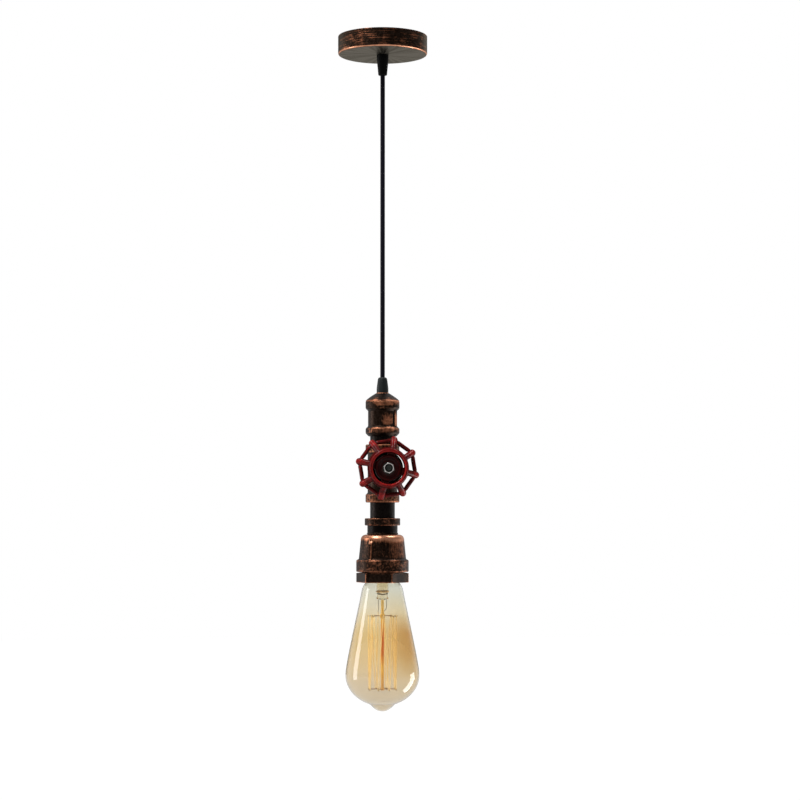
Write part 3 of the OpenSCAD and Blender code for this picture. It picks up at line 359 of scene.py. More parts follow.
def antique(
    name, stretch, tones, streaky=0.5, blotchy=0.5, specks=0.45, base=0.0, matt=0.4, sheen=0.36, **sockets
):
    """Black patina over copper: copper shows where the point attribute, blotches and brush streaks say; that
    attribute holds painted highlights and shade as well as wear.

    The tones run from the least worn to the most: deep, dark, speckled dark, copper and bright.
    """
    deep, dark, speckled, copper, bright = ((*tone, 1) for tone in tones)
    material, tree, bsdf = shader(name, **{"Metallic": 1.0, **sockets})
    worn_and_lit = put(tree, "ShaderNodeAttribute", attribute_name="wear_and_painted_light").outputs["Fac"]
    blotch = grain(tree, 150, 4, distort=0.4)
    speck = grain(tree, 560, 5, rough=0.65)
    streak = grain(tree, 1, 5, stretch, 0.68)
    rub_and_painted_light = maths(tree, "ADD", worn_and_lit, base)
    for texture, share in ((blotch, blotchy), (speck, specks), (streak, streaky)):
        rub_and_painted_light = maths(tree, "ADD", rub_and_painted_light, about_zero(tree, texture, 2 * share))
    shown = between(tree, rub_and_painted_light, 0.15, 0.8)
    metal = blend_colours(tree, between(tree, rub_and_painted_light, 0.6, 1.4), copper, bright)
    soot_and_shade = blend_colours(tree, between(tree, speck, 0.35, 0.7), dark, speckled)
    soot_and_shade = blend_colours(tree, between(tree, worn_and_lit, -0.8, -0.3), deep, soot_and_shade)
    tree.links.new(blend_colours(tree, shown, soot_and_shade, metal), bsdf.inputs["Base Color"])
    unworn = between(tree, worn_and_lit, -0.95, -0.6, matt, 0.4)
    tree.links.new(between(tree, shown, 0, 1, unworn, sheen), bsdf.inputs["Roughness"])
    relief = maths(tree, "ADD", maths(tree, "MULTIPLY", speck, 0.6), maths(tree, "MULTIPLY", streak, streaky))
    bump(tree, bsdf, relief, 0.45, 0.12 * MM)
    return material


def plain(name, colour, roughness, spread=0.25, grain_size=0.8 * MM, relief=0.2, **sockets):
    """Surface of one substance, with small changes of shade and gloss at its grain size."""
    material, tree, bsdf = shader(name, **sockets)
    fine = grain(tree, 1 / grain_size, 4)
    wide = grain(tree, 0.08 / grain_size, 3)
    tone = maths(tree, "ADD", maths(tree, "MULTIPLY", fine, 0.5), maths(tree, "MULTIPLY", wide, 0.5))
    low = [c * (1 - spread) for c in colour]
    high = [min(1.0, c * (1 + spread)) for c in colour]
    shade = blend_colours(tree, between(tree, tone, 0.35, 0.65), (*low, 1), (*high, 1))
    gloss = between(tree, tone, 0.3, 0.7, roughness * 1.15, roughness * 0.85)
    tree.links.new(shade, bsdf.inputs["Base Color"])
    tree.links.new(gloss, bsdf.inputs["Roughness"])
    bump(tree, bsdf, fine, relief, 0.1 * MM)
    return material


COPPER = (0.34, 0.128, 0.066)
BRIGHT = (0.68, 0.32, 0.19)
SOOT = (0.011, 0.0055, 0.0033)
SOOT_SPECKS = (0.030, 0.0185, 0.0135)
PIPE_BLACK = (0.006, 0.0045, 0.004)
PIPE_SPECKS = (0.014, 0.0105, 0.009)
PIPE_WORN = (0.10, 0.075, 0.055)
SATIN = (0.075, 0.068, 0.055)
COPPER_TONES = (PIPE_BLACK, SOOT, SOOT_SPECKS, COPPER, BRIGHT)
ROSE_TONES = (SATIN, SOOT, SOOT_SPECKS, COPPER, BRIGHT)
PIPE_TONES = (PIPE_BLACK, PIPE_BLACK, PIPE_SPECKS, PIPE_WORN, COPPER)
ZINC_TONES = (
    (0.02, 0.022, 0.018), (0.03, 0.032, 0.028), (0.06, 0.065, 0.055), (0.5, 0.47, 0.45), (0.75, 0.71, 0.68)
)
# Stretch of the brush streaks along each axis, more where they are finer
ALONG_Z = (1300, 1300, 60)
ROUND_Z = (65, 65, 1250)
EVEN = (500, 500, 500)

fitting_mat = antique("antique_copper_fitting", ALONG_Z, COPPER_TONES, streaky=0.3, specks=0.6, sheen=0.5)
bell_mat = antique("antique_copper_bell", ALONG_Z, COPPER_TONES, streaky=0.85, blotchy=0.35)
rose_mat = antique(
    "antique_copper_rose", ROUND_Z, ROSE_TONES, streaky=1.5, blotchy=0.8, specks=0.3, matt=0.7,
    Specular_Tint=(1, 0.95, 0.86, 1),
)
pipe_mat = antique("black_pipe", ALONG_Z, PIPE_TONES, base=-0.25)
brass_mat = plain("brass", (0.62, 0.42, 0.16), 0.3, Metallic=1.0)
nut_mat = antique("zinc_plated_nut", EVEN, ZINC_TONES, streaky=0.15, blotchy=0.1, specks=0.2, Metallic=0.6)
zinc_mat = plain("zinc_plate", (0.62, 0.59, 0.56), 0.32, Metallic=1.0)
steel_mat = plain("dark_steel", (0.05, 0.055, 0.05), 0.4, Metallic=1.0)
white_mat = plain("white_plastic", (0.75, 0.72, 0.64), 0.5, spread=0.06)
porcelain_mat = plain("porcelain", (0.80, 0.78, 0.72), 0.15, spread=0.04, Coat_Weight=0.5)
vitrite_mat = plain("black_glass", (0.012, 0.012, 0.014), 0.12)
core_mat = plain("core_sheath", (0.12, 0.045, 0.018), 0.4)
FINE = 0.35 * MM
cord_mat = plain("cord_sheath", (0.002, 0.0017, 0.0055), 0.5, grain_size=FINE, Specular_IOR_Level=0.1)
black_mat = plain("black_plastic", (0.0008, 0.0008, 0.0007), 0.6, grain_size=FINE, Specular_IOR_Level=0.08)
grip_mat = plain("grey_black_plastic", (0.0055, 0.0087, 0.009), 0.5, grain_size=FINE, Specular_IOR_Level=0.2)


def red_enamel():
    """Glossy red paint, darker where the point attribute is low, as painted shade and grime, and lighter
    where it is high, as worn crests and painted highlights.
    """
    material, tree, bsdf = shader(
        "red_enamel", Roughness=0.5, Specular_IOR_Level=0.03, Coat_Weight=0.16, Coat_Roughness=0.05
    )
    worn_and_lit = put(tree, "ShaderNodeAttribute", attribute_name="wear_and_painted_light").outputs["Fac"]
    mottle = grain(tree, 260, 3)
    level = maths(tree, "ADD", worn_and_lit, about_zero(tree, mottle, 0.5))
    # dark is painted shade and grime; light is worn crests and painted highlights
    dark, main, light = (0.010, 0.0004, 0.0003, 1), (0.045, 0.0006, 0.0005, 1), (0.5, 0.022, 0.020, 1)
    deep = blend_colours(tree, between(tree, level, -0.75, 0.05), dark, main)
    red = blend_colours(tree, between(tree, level, 0.3, 1.1), deep, light)
    tree.links.new(red, bsdf.inputs["Base Color"])
    bump(tree, bsdf, mottle, 0.12, 0.25 * MM)
    return material


red_mat = red_enamel()


def ramp(tree, value, *stops):
    """Colour ramp through stops of place and colour."""
    node = put(tree, "ShaderNodeValToRGB", {"Fac": value})
    elements = node.color_ramp.elements
    while len(elements) < len(stops):
        elements.new(0.5)
    for element, (place, colour) in zip(elements, stops):
        element.position = place
        element.color = (*colour, 1)
    return node.outputs["Color"]


def height_in(tree, node):
    """Place between a CAD node's highest point, 0, and its lowest, 1, and the place along X."""
    low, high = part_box(node)
    where = put(tree, "ShaderNodeSeparateXYZ", {0: put(tree, "ShaderNodeTexCoord").outputs["Object"]}).outputs
    span = {"Value": where["Z"], "From Min": high.z, "From Max": low.z}
    return put(tree, "ShaderNodeMapRange", span).outputs["Result"], where["X"]


def tinted_glass():
    """Glass that is clear at the neck, amber round the filament and smoky below, amber more to one side."""
    material, tree, bsdf = shader("amber_glass", Roughness=0.0, IOR=1.47, Transmission_Weight=1.0)
    down, across = height_in(tree, "bulb_glass")
    down = maths(tree, "ADD", down, about_zero(tree, grain(tree, 22, 2), 0.22))
    mild = ramp(
        tree, down, (0.10, (0.80, 0.80, 0.73)), (0.30, (0.87, 0.82, 0.69)), (0.46, (0.84, 0.71, 0.465)),
        (0.66, (0.84, 0.725, 0.535)), (0.80, (0.80, 0.72, 0.59)), (0.96, (0.74, 0.67, 0.55)),
    )
    strong = ramp(
        tree, down, (0.10, (0.77, 0.78, 0.72)), (0.28, (0.82, 0.74, 0.56)), (0.44, (0.70, 0.50, 0.25)),
        (0.60, (0.72, 0.54, 0.29)), (0.76, (0.79, 0.69, 0.52)), (0.96, (0.74, 0.67, 0.55)),
    )
    to_side = between(tree, across, -6 * MM, 26 * MM)
    tint = blend_colours(tree, to_side, mild, strong)
    edge = put(tree, "ShaderNodeLayerWeight", {"Blend": 0.27}).outputs["Facing"]
    rim = blend_colours(tree, between(tree, edge, 0.42, 0.95), (1, 1, 1, 1), (0.40, 0.31, 0.20, 1))
    tree.links.new(blend_colours(tree, 1.0, tint, rim, "MULTIPLY"), bsdf.inputs["Base Color"])
    return material


def stem_glass(name, thin, thick, transmission):
    """Glass of the stem, with faint streaks of a deeper tone."""
    material, tree, bsdf = shader(name, Roughness=0.03, IOR=1.45, Transmission_Weight=transmission)
    share = between(tree, grain(tree, 1, 3, (700, 700, 160)), 0.3, 0.7)
    tree.links.new(blend_colours(tree, share, (*thin, 1), (*thick, 1)), bsdf.inputs["Base Color"])
    return material


def amber_rod():
    """Rod that is golden at both ends and red-brown between them."""
    material, tree, bsdf = shader("amber_rod", Roughness=0.2, Specular_IOR_Level=0.25)
    drift = maths(tree, "MULTIPLY", grain(tree, 160, 2), 0.12)
    down = maths(tree, "ADD", height_in(tree, "support_rod")[0], drift)
    colour = ramp(
        tree, down, (0.04, (0.84, 0.60, 0.22)), (0.28, (0.76, 0.44, 0.07)), (0.46, (0.56, 0.13, 0.004)),
        (0.64, (0.56, 0.14, 0.005)), (0.80, (0.76, 0.50, 0.12)), (1.0, (0.60, 0.34, 0.08)),
    )
    tree.links.new(colour, bsdf.inputs["Base Color"])
    return material


glass_mat = tinted_glass()
stem_mat = stem_glass("stem_glass", (0.95, 0.91, 0.80), (0.86, 0.76, 0.58), 1.0)
rim_mat = stem_glass("stem_rim_glass", (0.72, 0.42, 0.12), (0.42, 0.20, 0.05), 0.3)
rod_mat = amber_rod()
wire_mat = plain("support_wire", (0.26, 0.15, 0.07), 0.35, Metallic=0.6)
lead_mat = plain("lead_wire", (0.36, 0.34, 0.30), 0.35, Metallic=0.9)
filament_mat = plain("filament", (0.86, 0.68, 0.35), 0.5, spread=0.08, relief=0.0)


# Cord

def cord_piece(name, node, route, ball=False, clear=0.0):
    """Cord along a straight hanging route.

    A ball on its upper end fills its hole. The distance clear is left at its lower end.
    """
    ring_step = 0.8 * MM
    zs = [MOUTH_Z + z * MM for z in route]
    path = [(0, 0, z) for z in zs]
    r = CORD_D / 2
    steps = round((zs[0] - zs[-1]) / ring_step)
    heights = [zs[0] + (zs[-1] + clear - zs[0]) * i / steps for i in range(steps + 1)]
    radii = [r] * len(heights)
    if ball:
        cap = arc(0, 0, r, 84, 12, 6)
        heights = [zs[0] + y for _, y in cap] + heights
        radii = [x for x, _ in cap] + radii
    bm = bmesh.new()
    tube_into(bm, [(0, 0, z) for z in heights], radii, 32)
    obj = to_object(name, bm, 60)
    dress(obj, None, "cord_sheath", cord_mat, node)
    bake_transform(obj)
    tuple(path[0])


cord_piece("cord_top_sheath", "cord_top", CORD_TOP_ROUTE, ball=True)
cord_piece("cord_sheath", "cord", CORD_ROUTE, clear=0.1 * MM)


# Rose and grips

NIPPLE_HOLE_R = 4.1 * MM


def rose():
    """Cup of sheet metal, brushed round its side and satin underneath, with a bright lip."""
    low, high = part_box("ceiling_rose")
    r = high.x
    sheet = 1.2 * MM
    hole = 4.2 * MM
    outline = rounded([
        (r, 0, 0.3 * MM), (r, low.z, 1.7 * MM), (hole, low.z, 0.2 * MM), (hole, low.z + sheet, 0.2 * MM),
        (r - sheet, low.z + sheet, 1.0 * MM), (r - sheet, 0, 0.3 * MM),
    ], 6)
    obj = lathe("rose_cover", outline, 360)

    def rub_and_painted_light(p):
        out = math.hypot(p.x, p.y)
        side = step_up(p.z, low.z + 0.4 * MM, low.z + 1.6 * MM)
        lip = bump_at(p.z, low.z + 0.55 * MM, 0.8 * MM) * step_up(out, r - 2 * MM, r - 0.6 * MM)
        t = heading(p)
        rays = noise.noise(Vector((9 * math.cos(t), 9 * math.sin(t), 30 * out)))
        return 1.2 * lip + 0.08 * side + (0.25 * rays - 0.72) * (1 - side) * (1 - lip)

    dress(wear_and_painted_light(obj, rub_and_painted_light, edge=0.3), "rose_body", "rose_copper", rose_mat, "ceiling_rose")


rose()


def grip(name, node, body, material, mouth_up):
    """Tapered cord grip with a round mouth and faint flats."""
    low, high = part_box(node)
    wide = high.x
    mouth = wide * (0.81 if mouth_up else 0.755)
    bore = 2.2 * MM
    tip, foot = (high.z, low.z) if mouth_up else (low.z, high.z)
    into = (foot - tip) / abs(foot - tip)
    straight = 4 * MM
    face, brow, nose_l = (0.60, 0.90, 2.2 * MM) if mouth_up else (0.80, 0.98, 0.9 * MM)
    seat = tip + into * 6.5 * MM
    corners = [
        (bore, tip, 0.2 * MM), (mouth * face, tip, 0.6 * MM),
        (mouth * brow, tip + into * 0.3 * nose_l, 0.6 * MM), (mouth, tip + into * nose_l, 0.9 * MM),
        (wide, foot - into * straight, 2 * MM), (wide, foot, 0.2 * MM),
        (NIPPLE_HOLE_R, foot), (NIPPLE_HOLE_R, seat), (bore, seat),
    ]
    flat_depth, flat_count = 0.012, 8

    def flats(t, r, _):
        return r * (1 - flat_depth * (1 - math.cos(flat_count * t))) if r > mouth * 0.8 else r

    obj = lathe(name, rounded(corners, 6), 128, flats, 0.6 * MM)
    dress(obj, body, "grip_plastic", material, node)


grip("upper_grip", "upper_cord_grip", "rose_body", black_mat, False)
grip("lower_grip", "lower_cord_grip", "lamp_body", grip_mat, True)


# Plug, coupling and pipes

coupling_low, coupling_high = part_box("coupling")
BAND_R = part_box("dome_plug")[1].x
PIPE_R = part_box("upper_pipe_nipple")[1].x
PIPE_HOLE_R = PIPE_R + 0.1 * MM
BAND_H = 7.8 * MM
# Direction in degrees about Z toward which the fittings are painted darker, as painted shade that dims the
# left lamp's highlight
SHADE_PAINTED_SIDE = -152


def washer():
    low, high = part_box("grip_washer")
    outline = rounded([
        (NIPPLE_HOLE_R, high.z), (high.x, high.z, 0.25 * MM),
        (high.x, low.z, 0.25 * MM), (NIPPLE_HOLE_R, low.z),
    ])
    obj = wear_and_painted_light(lathe("grip_ring", outline, 96), lambda p: 0.4)
    dress(obj, "lamp_body", "fitting_copper", fitting_mat, "grip_washer")


washer()


def dome():
    """Domed plug, hollow below, with the nipple's hole through its crown."""
    low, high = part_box("dome_plug")
    top = high.z
    edge = coupling_high.z
    flat, lip = 6 * MM, 0.4 * MM
    hollow_r, hollow_top = 8 * MM, top - 9 * MM
    crown = curve(
        (flat, top), ((2 * flat + BAND_R) / 3, top - (top - edge) / 4),
        ((flat + 5 * BAND_R) / 6, top - (top - edge) * 2 / 3), (BAND_R, edge + lip), 14
    )
    outline = [(NIPPLE_HOLE_R, top)] + crown + [
        (BAND_R - lip, edge), (PIPE_R, edge), (PIPE_R, low.z), (hollow_r, low.z), (hollow_r, hollow_top),
        (NIPPLE_HOLE_R, hollow_top),
    ]
    obj = lathe("dome", outline, 192)
    darker_side = -66

    def rub_and_painted_light(p):
        patch = noise.noise(p * 130 + Vector((3, 1, 7)))
        on_crown = step_up(p.z, edge + 3 * MM, edge + 6 * MM)
        dull = on_crown * bump_at(turn_gap(heading(p), darker_side), 0, 42)
        return 0.5 * patch - 0.15 - 0.5 * dull

    dress(wear_and_painted_light(obj, rub_and_painted_light), "lamp_body", "fitting_copper", fitting_mat, "dome_plug")


dome()


def coupling():
    """Coupling with a band at each end and two ribs on its barrel, with a painted shadow along one side of
    each rib.
    """
    barrel = 12.45 * MM
    top, low = coupling_high.z, coupling_low.z
    slope = BAND_R - barrel
    foot = 2.6 * MM
    upper_edge = top - BAND_H + 1.6 * MM
    lower_edge = low + BAND_H - 1.2 * MM
    outline = rounded([
        (PIPE_HOLE_R, top), (BAND_R, top, 0.7 * MM), (BAND_R, upper_edge, 0.9 * MM),
        (barrel, upper_edge - slope, 0.6 * MM), (barrel, lower_edge + slope, 0.6 * MM),
        (BAND_R, lower_edge, 0.6 * MM), (BAND_R, low + foot, 1.0 * MM),
        (BAND_R - foot, low, 0.6 * MM), (PIPE_HOLE_R, low),
    ], 5)
    ribs = (-34, 146)
    rib_shadow_sides = [a - 13 for a in ribs]
    rib_half = 9.4
    rib_rise = 1.0 * MM
    bright_side, patch_side = -96, -74

    def with_ribs(t, r, _):
        if r < barrel - 0.1 * MM or r > barrel + rib_rise:
            return r
        raised = barrel + rib_rise * (1 - step_up(nearest_gap(t, ribs), rib_half - 2.5, rib_half + 0.8))
        return max(r, raised)

    obj = lathe("coupling_body", outline, 288, with_ribs, 0.9 * MM)

    def rub_and_painted_light(p):
        t = heading(p)
        upper = 1 - step_up(top - p.z, 3.0 * MM, 5.6 * MM)
        lower = bump_at(p.z, low + BAND_H - 2.0 * MM, 3.5 * MM)
        # painted light: the bands are lighter toward bright_side, the side that faces the front, and painted
        # darker toward the left, as painted shade that dims the left lamp's highlight
        dull = 0.15 * step_up(turn_gap(t, bright_side), 15, 60)
        dull += 0.35 * bump_at(turn_gap(t, SHADE_PAINTED_SIDE), 0, 40)
        band = max(upper, lower) * (0.66 + 0.3 * noise.noise(p * 260) - dull)
        mid = bump_at(p.z, (top + low) / 2 - 1 * MM, 8.5 * MM)
        patch = mid * bump_at(turn_gap(t, patch_side), 0, 38) * 0.6
        rib = mid * (1 - step_up(nearest_gap(t, ribs), 7, 9.5)) * 0.75
        # painted shadow: a dark line along one side of each rib
        soot_and_shade = 0.7 * mid * bump_at(nearest_gap(t, rib_shadow_sides), 0, 5)
        return max(band, patch, rib) - 0.12 - soot_and_shade

    dress(wear_and_painted_light(obj, rub_and_painted_light), "lamp_body", "fitting_copper", fitting_mat, "coupling")


coupling()


def pipe(name, node, rub_and_painted_light):
    """Plain length of pipe."""
    low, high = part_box(node)
    r, wall = high.x, 2.65 * MM
    outline = rounded([
        (r - wall, high.z, 0.3 * MM), (r, high.z, 0.4 * MM), (r, low.z, 0.4 * MM), (r - wall, low.z, 0.3 * MM)
    ])
    obj = lathe(name, outline, 160, None, 0.8 * MM)
    dress(wear_and_painted_light(obj, rub_and_painted_light), "lamp_body", "pipe_black", pipe_mat, node)


def lower_pipe_rub(p):
    """One worn streak down the right of the pipe's front."""
    streak_side = -62
    return 0.25 * bump_at(turn_gap(heading(p), streak_side), 0, 14) - 0.1


pipe("upper_pipe", "upper_pipe_nipple", lambda p: 0.35)
pipe("lower_pipe", "lower_pipe_nipple", lower_pipe_rub)


# Tee and valve

def tee():
    """Cast tee, copper on its two end bands and darker on its branch."""
    low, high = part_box("tee")
    obj = casting("tee_body", "tee", 0.35 * MM, 10)
    branch_l = 12 * MM

    def rub_and_painted_light(p):
        r = math.hypot(p.x, p.y)
        on_band = step_up(r, 13.2 * MM, 14.2 * MM) * step_up(p.y, -14 * MM, -12 * MM)
        ends = max(bump_at(p.z, high.z - 3 * MM, 5 * MM), bump_at(p.z, low.z + 3.5 * MM, 5 * MM))
        branch = step_up(low.y + branch_l - p.y, 0, 3 * MM)
        return max(0.3 * on_band, 0.42 * ends) - 0.1 - 0.5 * branch

    dress(wear_and_painted_light(obj, rub_and_painted_light), "lamp_body", "fitting_copper", fitting_mat, "tee")


tee()

wheel_low, wheel_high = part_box("handwheel")
HUB_Z = (wheel_low.z + wheel_high.z) / 2


def from_hub(p):
    """Distance of a point from the wheel's axis."""
    return math.hypot(p.x, p.z - HUB_Z)


def wheel():
    """Cast handwheel. Smoothing thins the straight bars of its rim, so they are grown again."""
    obj = casting("valve_wheel", "handwheel", 0.32 * MM, 14)
    crest = wheel_low.y
    spoke_angle, spoke_step = 31.8, 45
    bar_growth = 0.42 * MM
    ring_r = 14.1 * MM

    def on_bar(p):
        turn = math.degrees(math.atan2(p.z - HUB_Z, p.x)) - spoke_angle
        off_spoke = abs((turn + spoke_step / 2) % spoke_step - spoke_step / 2)
        return step_up(from_hub(p), 19 * MM, 20.5 * MM) * step_up(off_spoke, 6, 11)

    normals = [v.normal.copy() for v in obj.data.vertices]
    for v, normal in zip(obj.data.vertices, normals):
        v.co += normal * bar_growth * on_bar(v.co)

    def rub_and_painted_light(p):
        # painted light: a highlight line on the ring's inner edge and lighter lobes, as painted highlights;
        # the dish painted darker, as painted shade and grime; darker toward the back and on the rim's bars
        r = from_hub(p)
        line = bump_at(r, ring_r, 0.9 * MM) * (1 - step_up(p.y, crest + 0.8 * MM, crest + 2.2 * MM))
        dish_shade_and_grime = (1 - step_up(r, 11 * MM, 13.6 * MM)) * step_up(p.y, crest + 2 * MM, crest + 6 * MM)
        back = step_up(p.y, crest + 9 * MM, crest + 15 * MM)
        lobe_highlight = step_up(r, 20.5 * MM, 24 * MM)
        return 0.27 + 0.2 * lobe_highlight + 0.25 * line - 0.3 * on_bar(p) - 0.6 * dish_shade_and_grime - 0.25 * back

    dress(wear_and_painted_light(obj, rub_and_painted_light, spread=3), "wheel_body", "wheel_red", red_mat, "handwheel")


wheel()


def wheel_nut():
    """Plated nut with bevelled corners and a hollow round the stem's end that is painted dark, as painted
    shade.
    """
    low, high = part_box("wheel_nut")
    half = 8 * MM / 2
    corner = half / math.cos(math.radians(30))
    first_corner = 40
    hole, hollow = 2.3 * MM, 3.5 * MM
    front, back = -low.y, -high.y
    outline = rounded([
        (hole, front - 1.1 * MM), (3.2 * MM, front - 0.5 * MM, 0.2 * MM), (hollow, front, 0.15 * MM),
        (half, front, 0.1 * MM), (corner, front - 0.25 * MM, 0.1 * MM), (corner, back), (hole, back),
    ])

    def hexagonal(t, r, _):
        return min(r, hex_radius(t, half, first_corner))

    obj = lathe("nut", outline, 144, hexagonal, 0.4 * MM, 28)
    obj.data.transform(Matrix.Translation((0, 0, HUB_Z)) @ Matrix.Rotation(math.pi / 2, 4, "X"))

    def rub_and_painted_light(p):
        # painted shade: the hollow round the stem's end is painted dark
        return 1 - 1.6 * (1 - step_up(from_hub(p), 3.15 * MM, hollow))

    dress(wear_and_painted_light(obj, rub_and_painted_light, edge=0.2, spread=1), "wheel_body", "zinc", nut_mat, "wheel_nut")


wheel_nut()


# Reducer and bush

bell_low, bell_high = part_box("bell_reducer")


def bell():
    """Reducer with a bead, a dark neck, a shoulder painted bright (worn copper and a painted highlight), a
    brushed flank with two ribs, and a skirt.
    """
    top, low = bell_high.z, bell_low.z
    skirt = bell_high.x
    bead, neck, shoulder, flank = 15.25 * MM, 13 * MM, 18.7 * MM, 20.5 * MM
    bead_low = top - 6.2 * MM
    neck_low = bead_low - 7.8 * MM
    skirt_top = low + 10 * MM
    ridge = 0.9 * MM
    bush_bore = 16.8 * MM
    bore_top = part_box("holder_body")[1].z - 0.2 * MM
    outline = rounded([
        (PIPE_HOLE_R, top), (bead, top, 0.8 * MM), (bead, bead_low, 0.8 * MM), (neck, bead_low, 0.4 * MM),
        (neck, neck_low + 2.2 * ridge, 0.4 * MM),
    ], 5)
    outline += arc(neck - ridge / 2, neck_low + ridge, ridge, 70, -60)
    outline += curve(
        (neck + 0.3 * MM, neck_low), (shoulder - 1.2 * MM, neck_low), (shoulder, neck_low - 2.5 * MM),
        (shoulder, neck_low - 5 * MM), 16
    )
    outline += rounded([
        (flank, skirt_top + 0.9 * MM, 0.8 * MM), (skirt, skirt_top, 0.9 * MM), (skirt, low, 1.0 * MM),
        (bush_bore, low), (bush_bore, bore_top), (PIPE_HOLE_R, top - 14 * MM), (PIPE_HOLE_R, top - 2 * MM),
    ], 5)
    ribs = (-128, 52)
    lit_edges = [a + 3.4 for a in ribs]
    rib_half = 5.8
    rib_rise = 1.0 * MM
    rib_top = neck_low - 5.0 * MM
    worn_side = -50

    def with_ribs(t, r, z):
        if r < shoulder - 0.9 * MM or r > flank + 0.4 * MM or z > rib_top or z < skirt_top:
            return r
        across = 1 - step_up(nearest_gap(t, ribs), rib_half - 1.8, rib_half)
        return r + rib_rise * across * (1 - step_up(z, rib_top - 2.2 * MM, rib_top))

    obj = lathe("bell", outline, 320, with_ribs, 0.9 * MM)

    def rub_and_painted_light(p):
        t = heading(p)
        if p.z > bead_low - 0.1 * MM:
            return 0.1
        if p.z > neck_low:
            # painted highlight: the ridge at the neck's foot is painted lighter, as a glint on it
            return -0.9 + 0.6 * bump_at(p.z, neck_low + ridge, 1.2 * MM)
        if p.z <= skirt_top + 1 * MM:
            return 0.2
        near_rib = 1 - step_up(nearest_gap(t, ribs), 4, 7)
        # the shoulder is painted bright, as worn copper and a painted highlight; toward the painted-shade
        # side it is painted darker to dim the left lamp's highlight
        shoulder_wear_and_highlight = 1.05 * step_up(p.z, neck_low - 8.2 * MM, neck_low - 2.6 * MM)
        shoulder_wear_and_highlight -= 0.35 * bump_at(turn_gap(t, SHADE_PAINTED_SIDE), 0, 34)
        # painted highlights: a bright spot at each rib's top end and a lighter line along one flank of each
        # rib
        rib_end_highlight = 1.3 * near_rib * bump_at(p.z, rib_top - 1.3 * MM, 2.2 * MM)
        right = 0.3 * bump_at(turn_gap(t, worn_side), 0, 40)
        rib_flank_highlight = 0.34 * bump_at(nearest_gap(t, lit_edges), 0, 4)
        return max(shoulder_wear_and_highlight, rib_end_highlight, rib_flank_highlight) + 0.1 + right - 0.15 * near_rib

    dress(wear_and_painted_light(obj, rub_and_painted_light, edge=0.6), "lamp_body", "fitting_copper", bell_mat, "bell_reducer")
    obj.data.materials.append(fitting_mat)
    for face in obj.data.polygons:
        face.material_index = int(not skirt_top < face.center.z < bead_low)


bell()


def bush():
    """Hexagon with a threaded spigot above it and a plain bore."""
    low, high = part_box("hex_bush")
    half = 39.8 * MM / 2
    spigot = 16.7 * MM
    bore = 14.15 * MM
    hex_top = low.z + 8.4 * MM
    first_corner = -15
    corner = half / math.cos(math.radians(30))
    pitch, thread_depth = 1.8 * MM, 0.5 * MM
    bevel = 0.5 * MM
    darker_side = -45

    def hexagonal(t, r, z):
        if r <= spigot + 0.1 * MM:
            if r < spigot - 0.1 * MM or z < hex_top:
                return r
            turn = (z / pitch - t / (2 * math.pi)) % 1
            return r - thread_depth * abs(2 * turn - 1)
        return min(r, hex_radius(t, half, first_corner), 0.992 * corner)

    outline = rounded([
        (bore, high.z, 0.3 * MM), (spigot, high.z, 0.4 * MM), (spigot, hex_top), (half * 0.97, hex_top),
        (corner, hex_top - bevel, 0.2 * MM), (corner, low.z + bevel, 0.2 * MM), (corner - 0.6 * MM, low.z),
        (bore, low.z, 0.3 * MM),
    ], 4)
    obj = lathe("bush", outline, 360, hexagonal, 0.45 * MM, crease=28)

    def rub_and_painted_light(p):
        t = heading(p)
        off = abs((math.degrees(t) - first_corner + 30) % 60 - 30)
        at_corner = 1 - step_up(off, 0.4, 1.4)
        r = math.hypot(p.x, p.y)
        rim = max(bump_at(p.z, low.z + 0.3 * MM, 0.7 * MM), 0.6 * bump_at(p.z, hex_top - bevel, 0.8 * MM))
        # painted shade: the facet toward this side is painted darker to dim the right lamp's reflection in it
        shaded_facet = 0.6 * bump_at(turn_gap(t, darker_side), 0, 30)
        return 0.5 * max(at_corner, rim) * step_up(r, 18 * MM, 19.5 * MM) - 0.03 - shaded_facet

    dress(wear_and_painted_light(obj, rub_and_painted_light, edge=0.7), "lamp_body", "fitting_copper", fitting_mat, "hex_bush")


bush()


# Bulb

BULB_NECK_R = 12.4 * MM
GLASS_WALL = 0.8 * MM


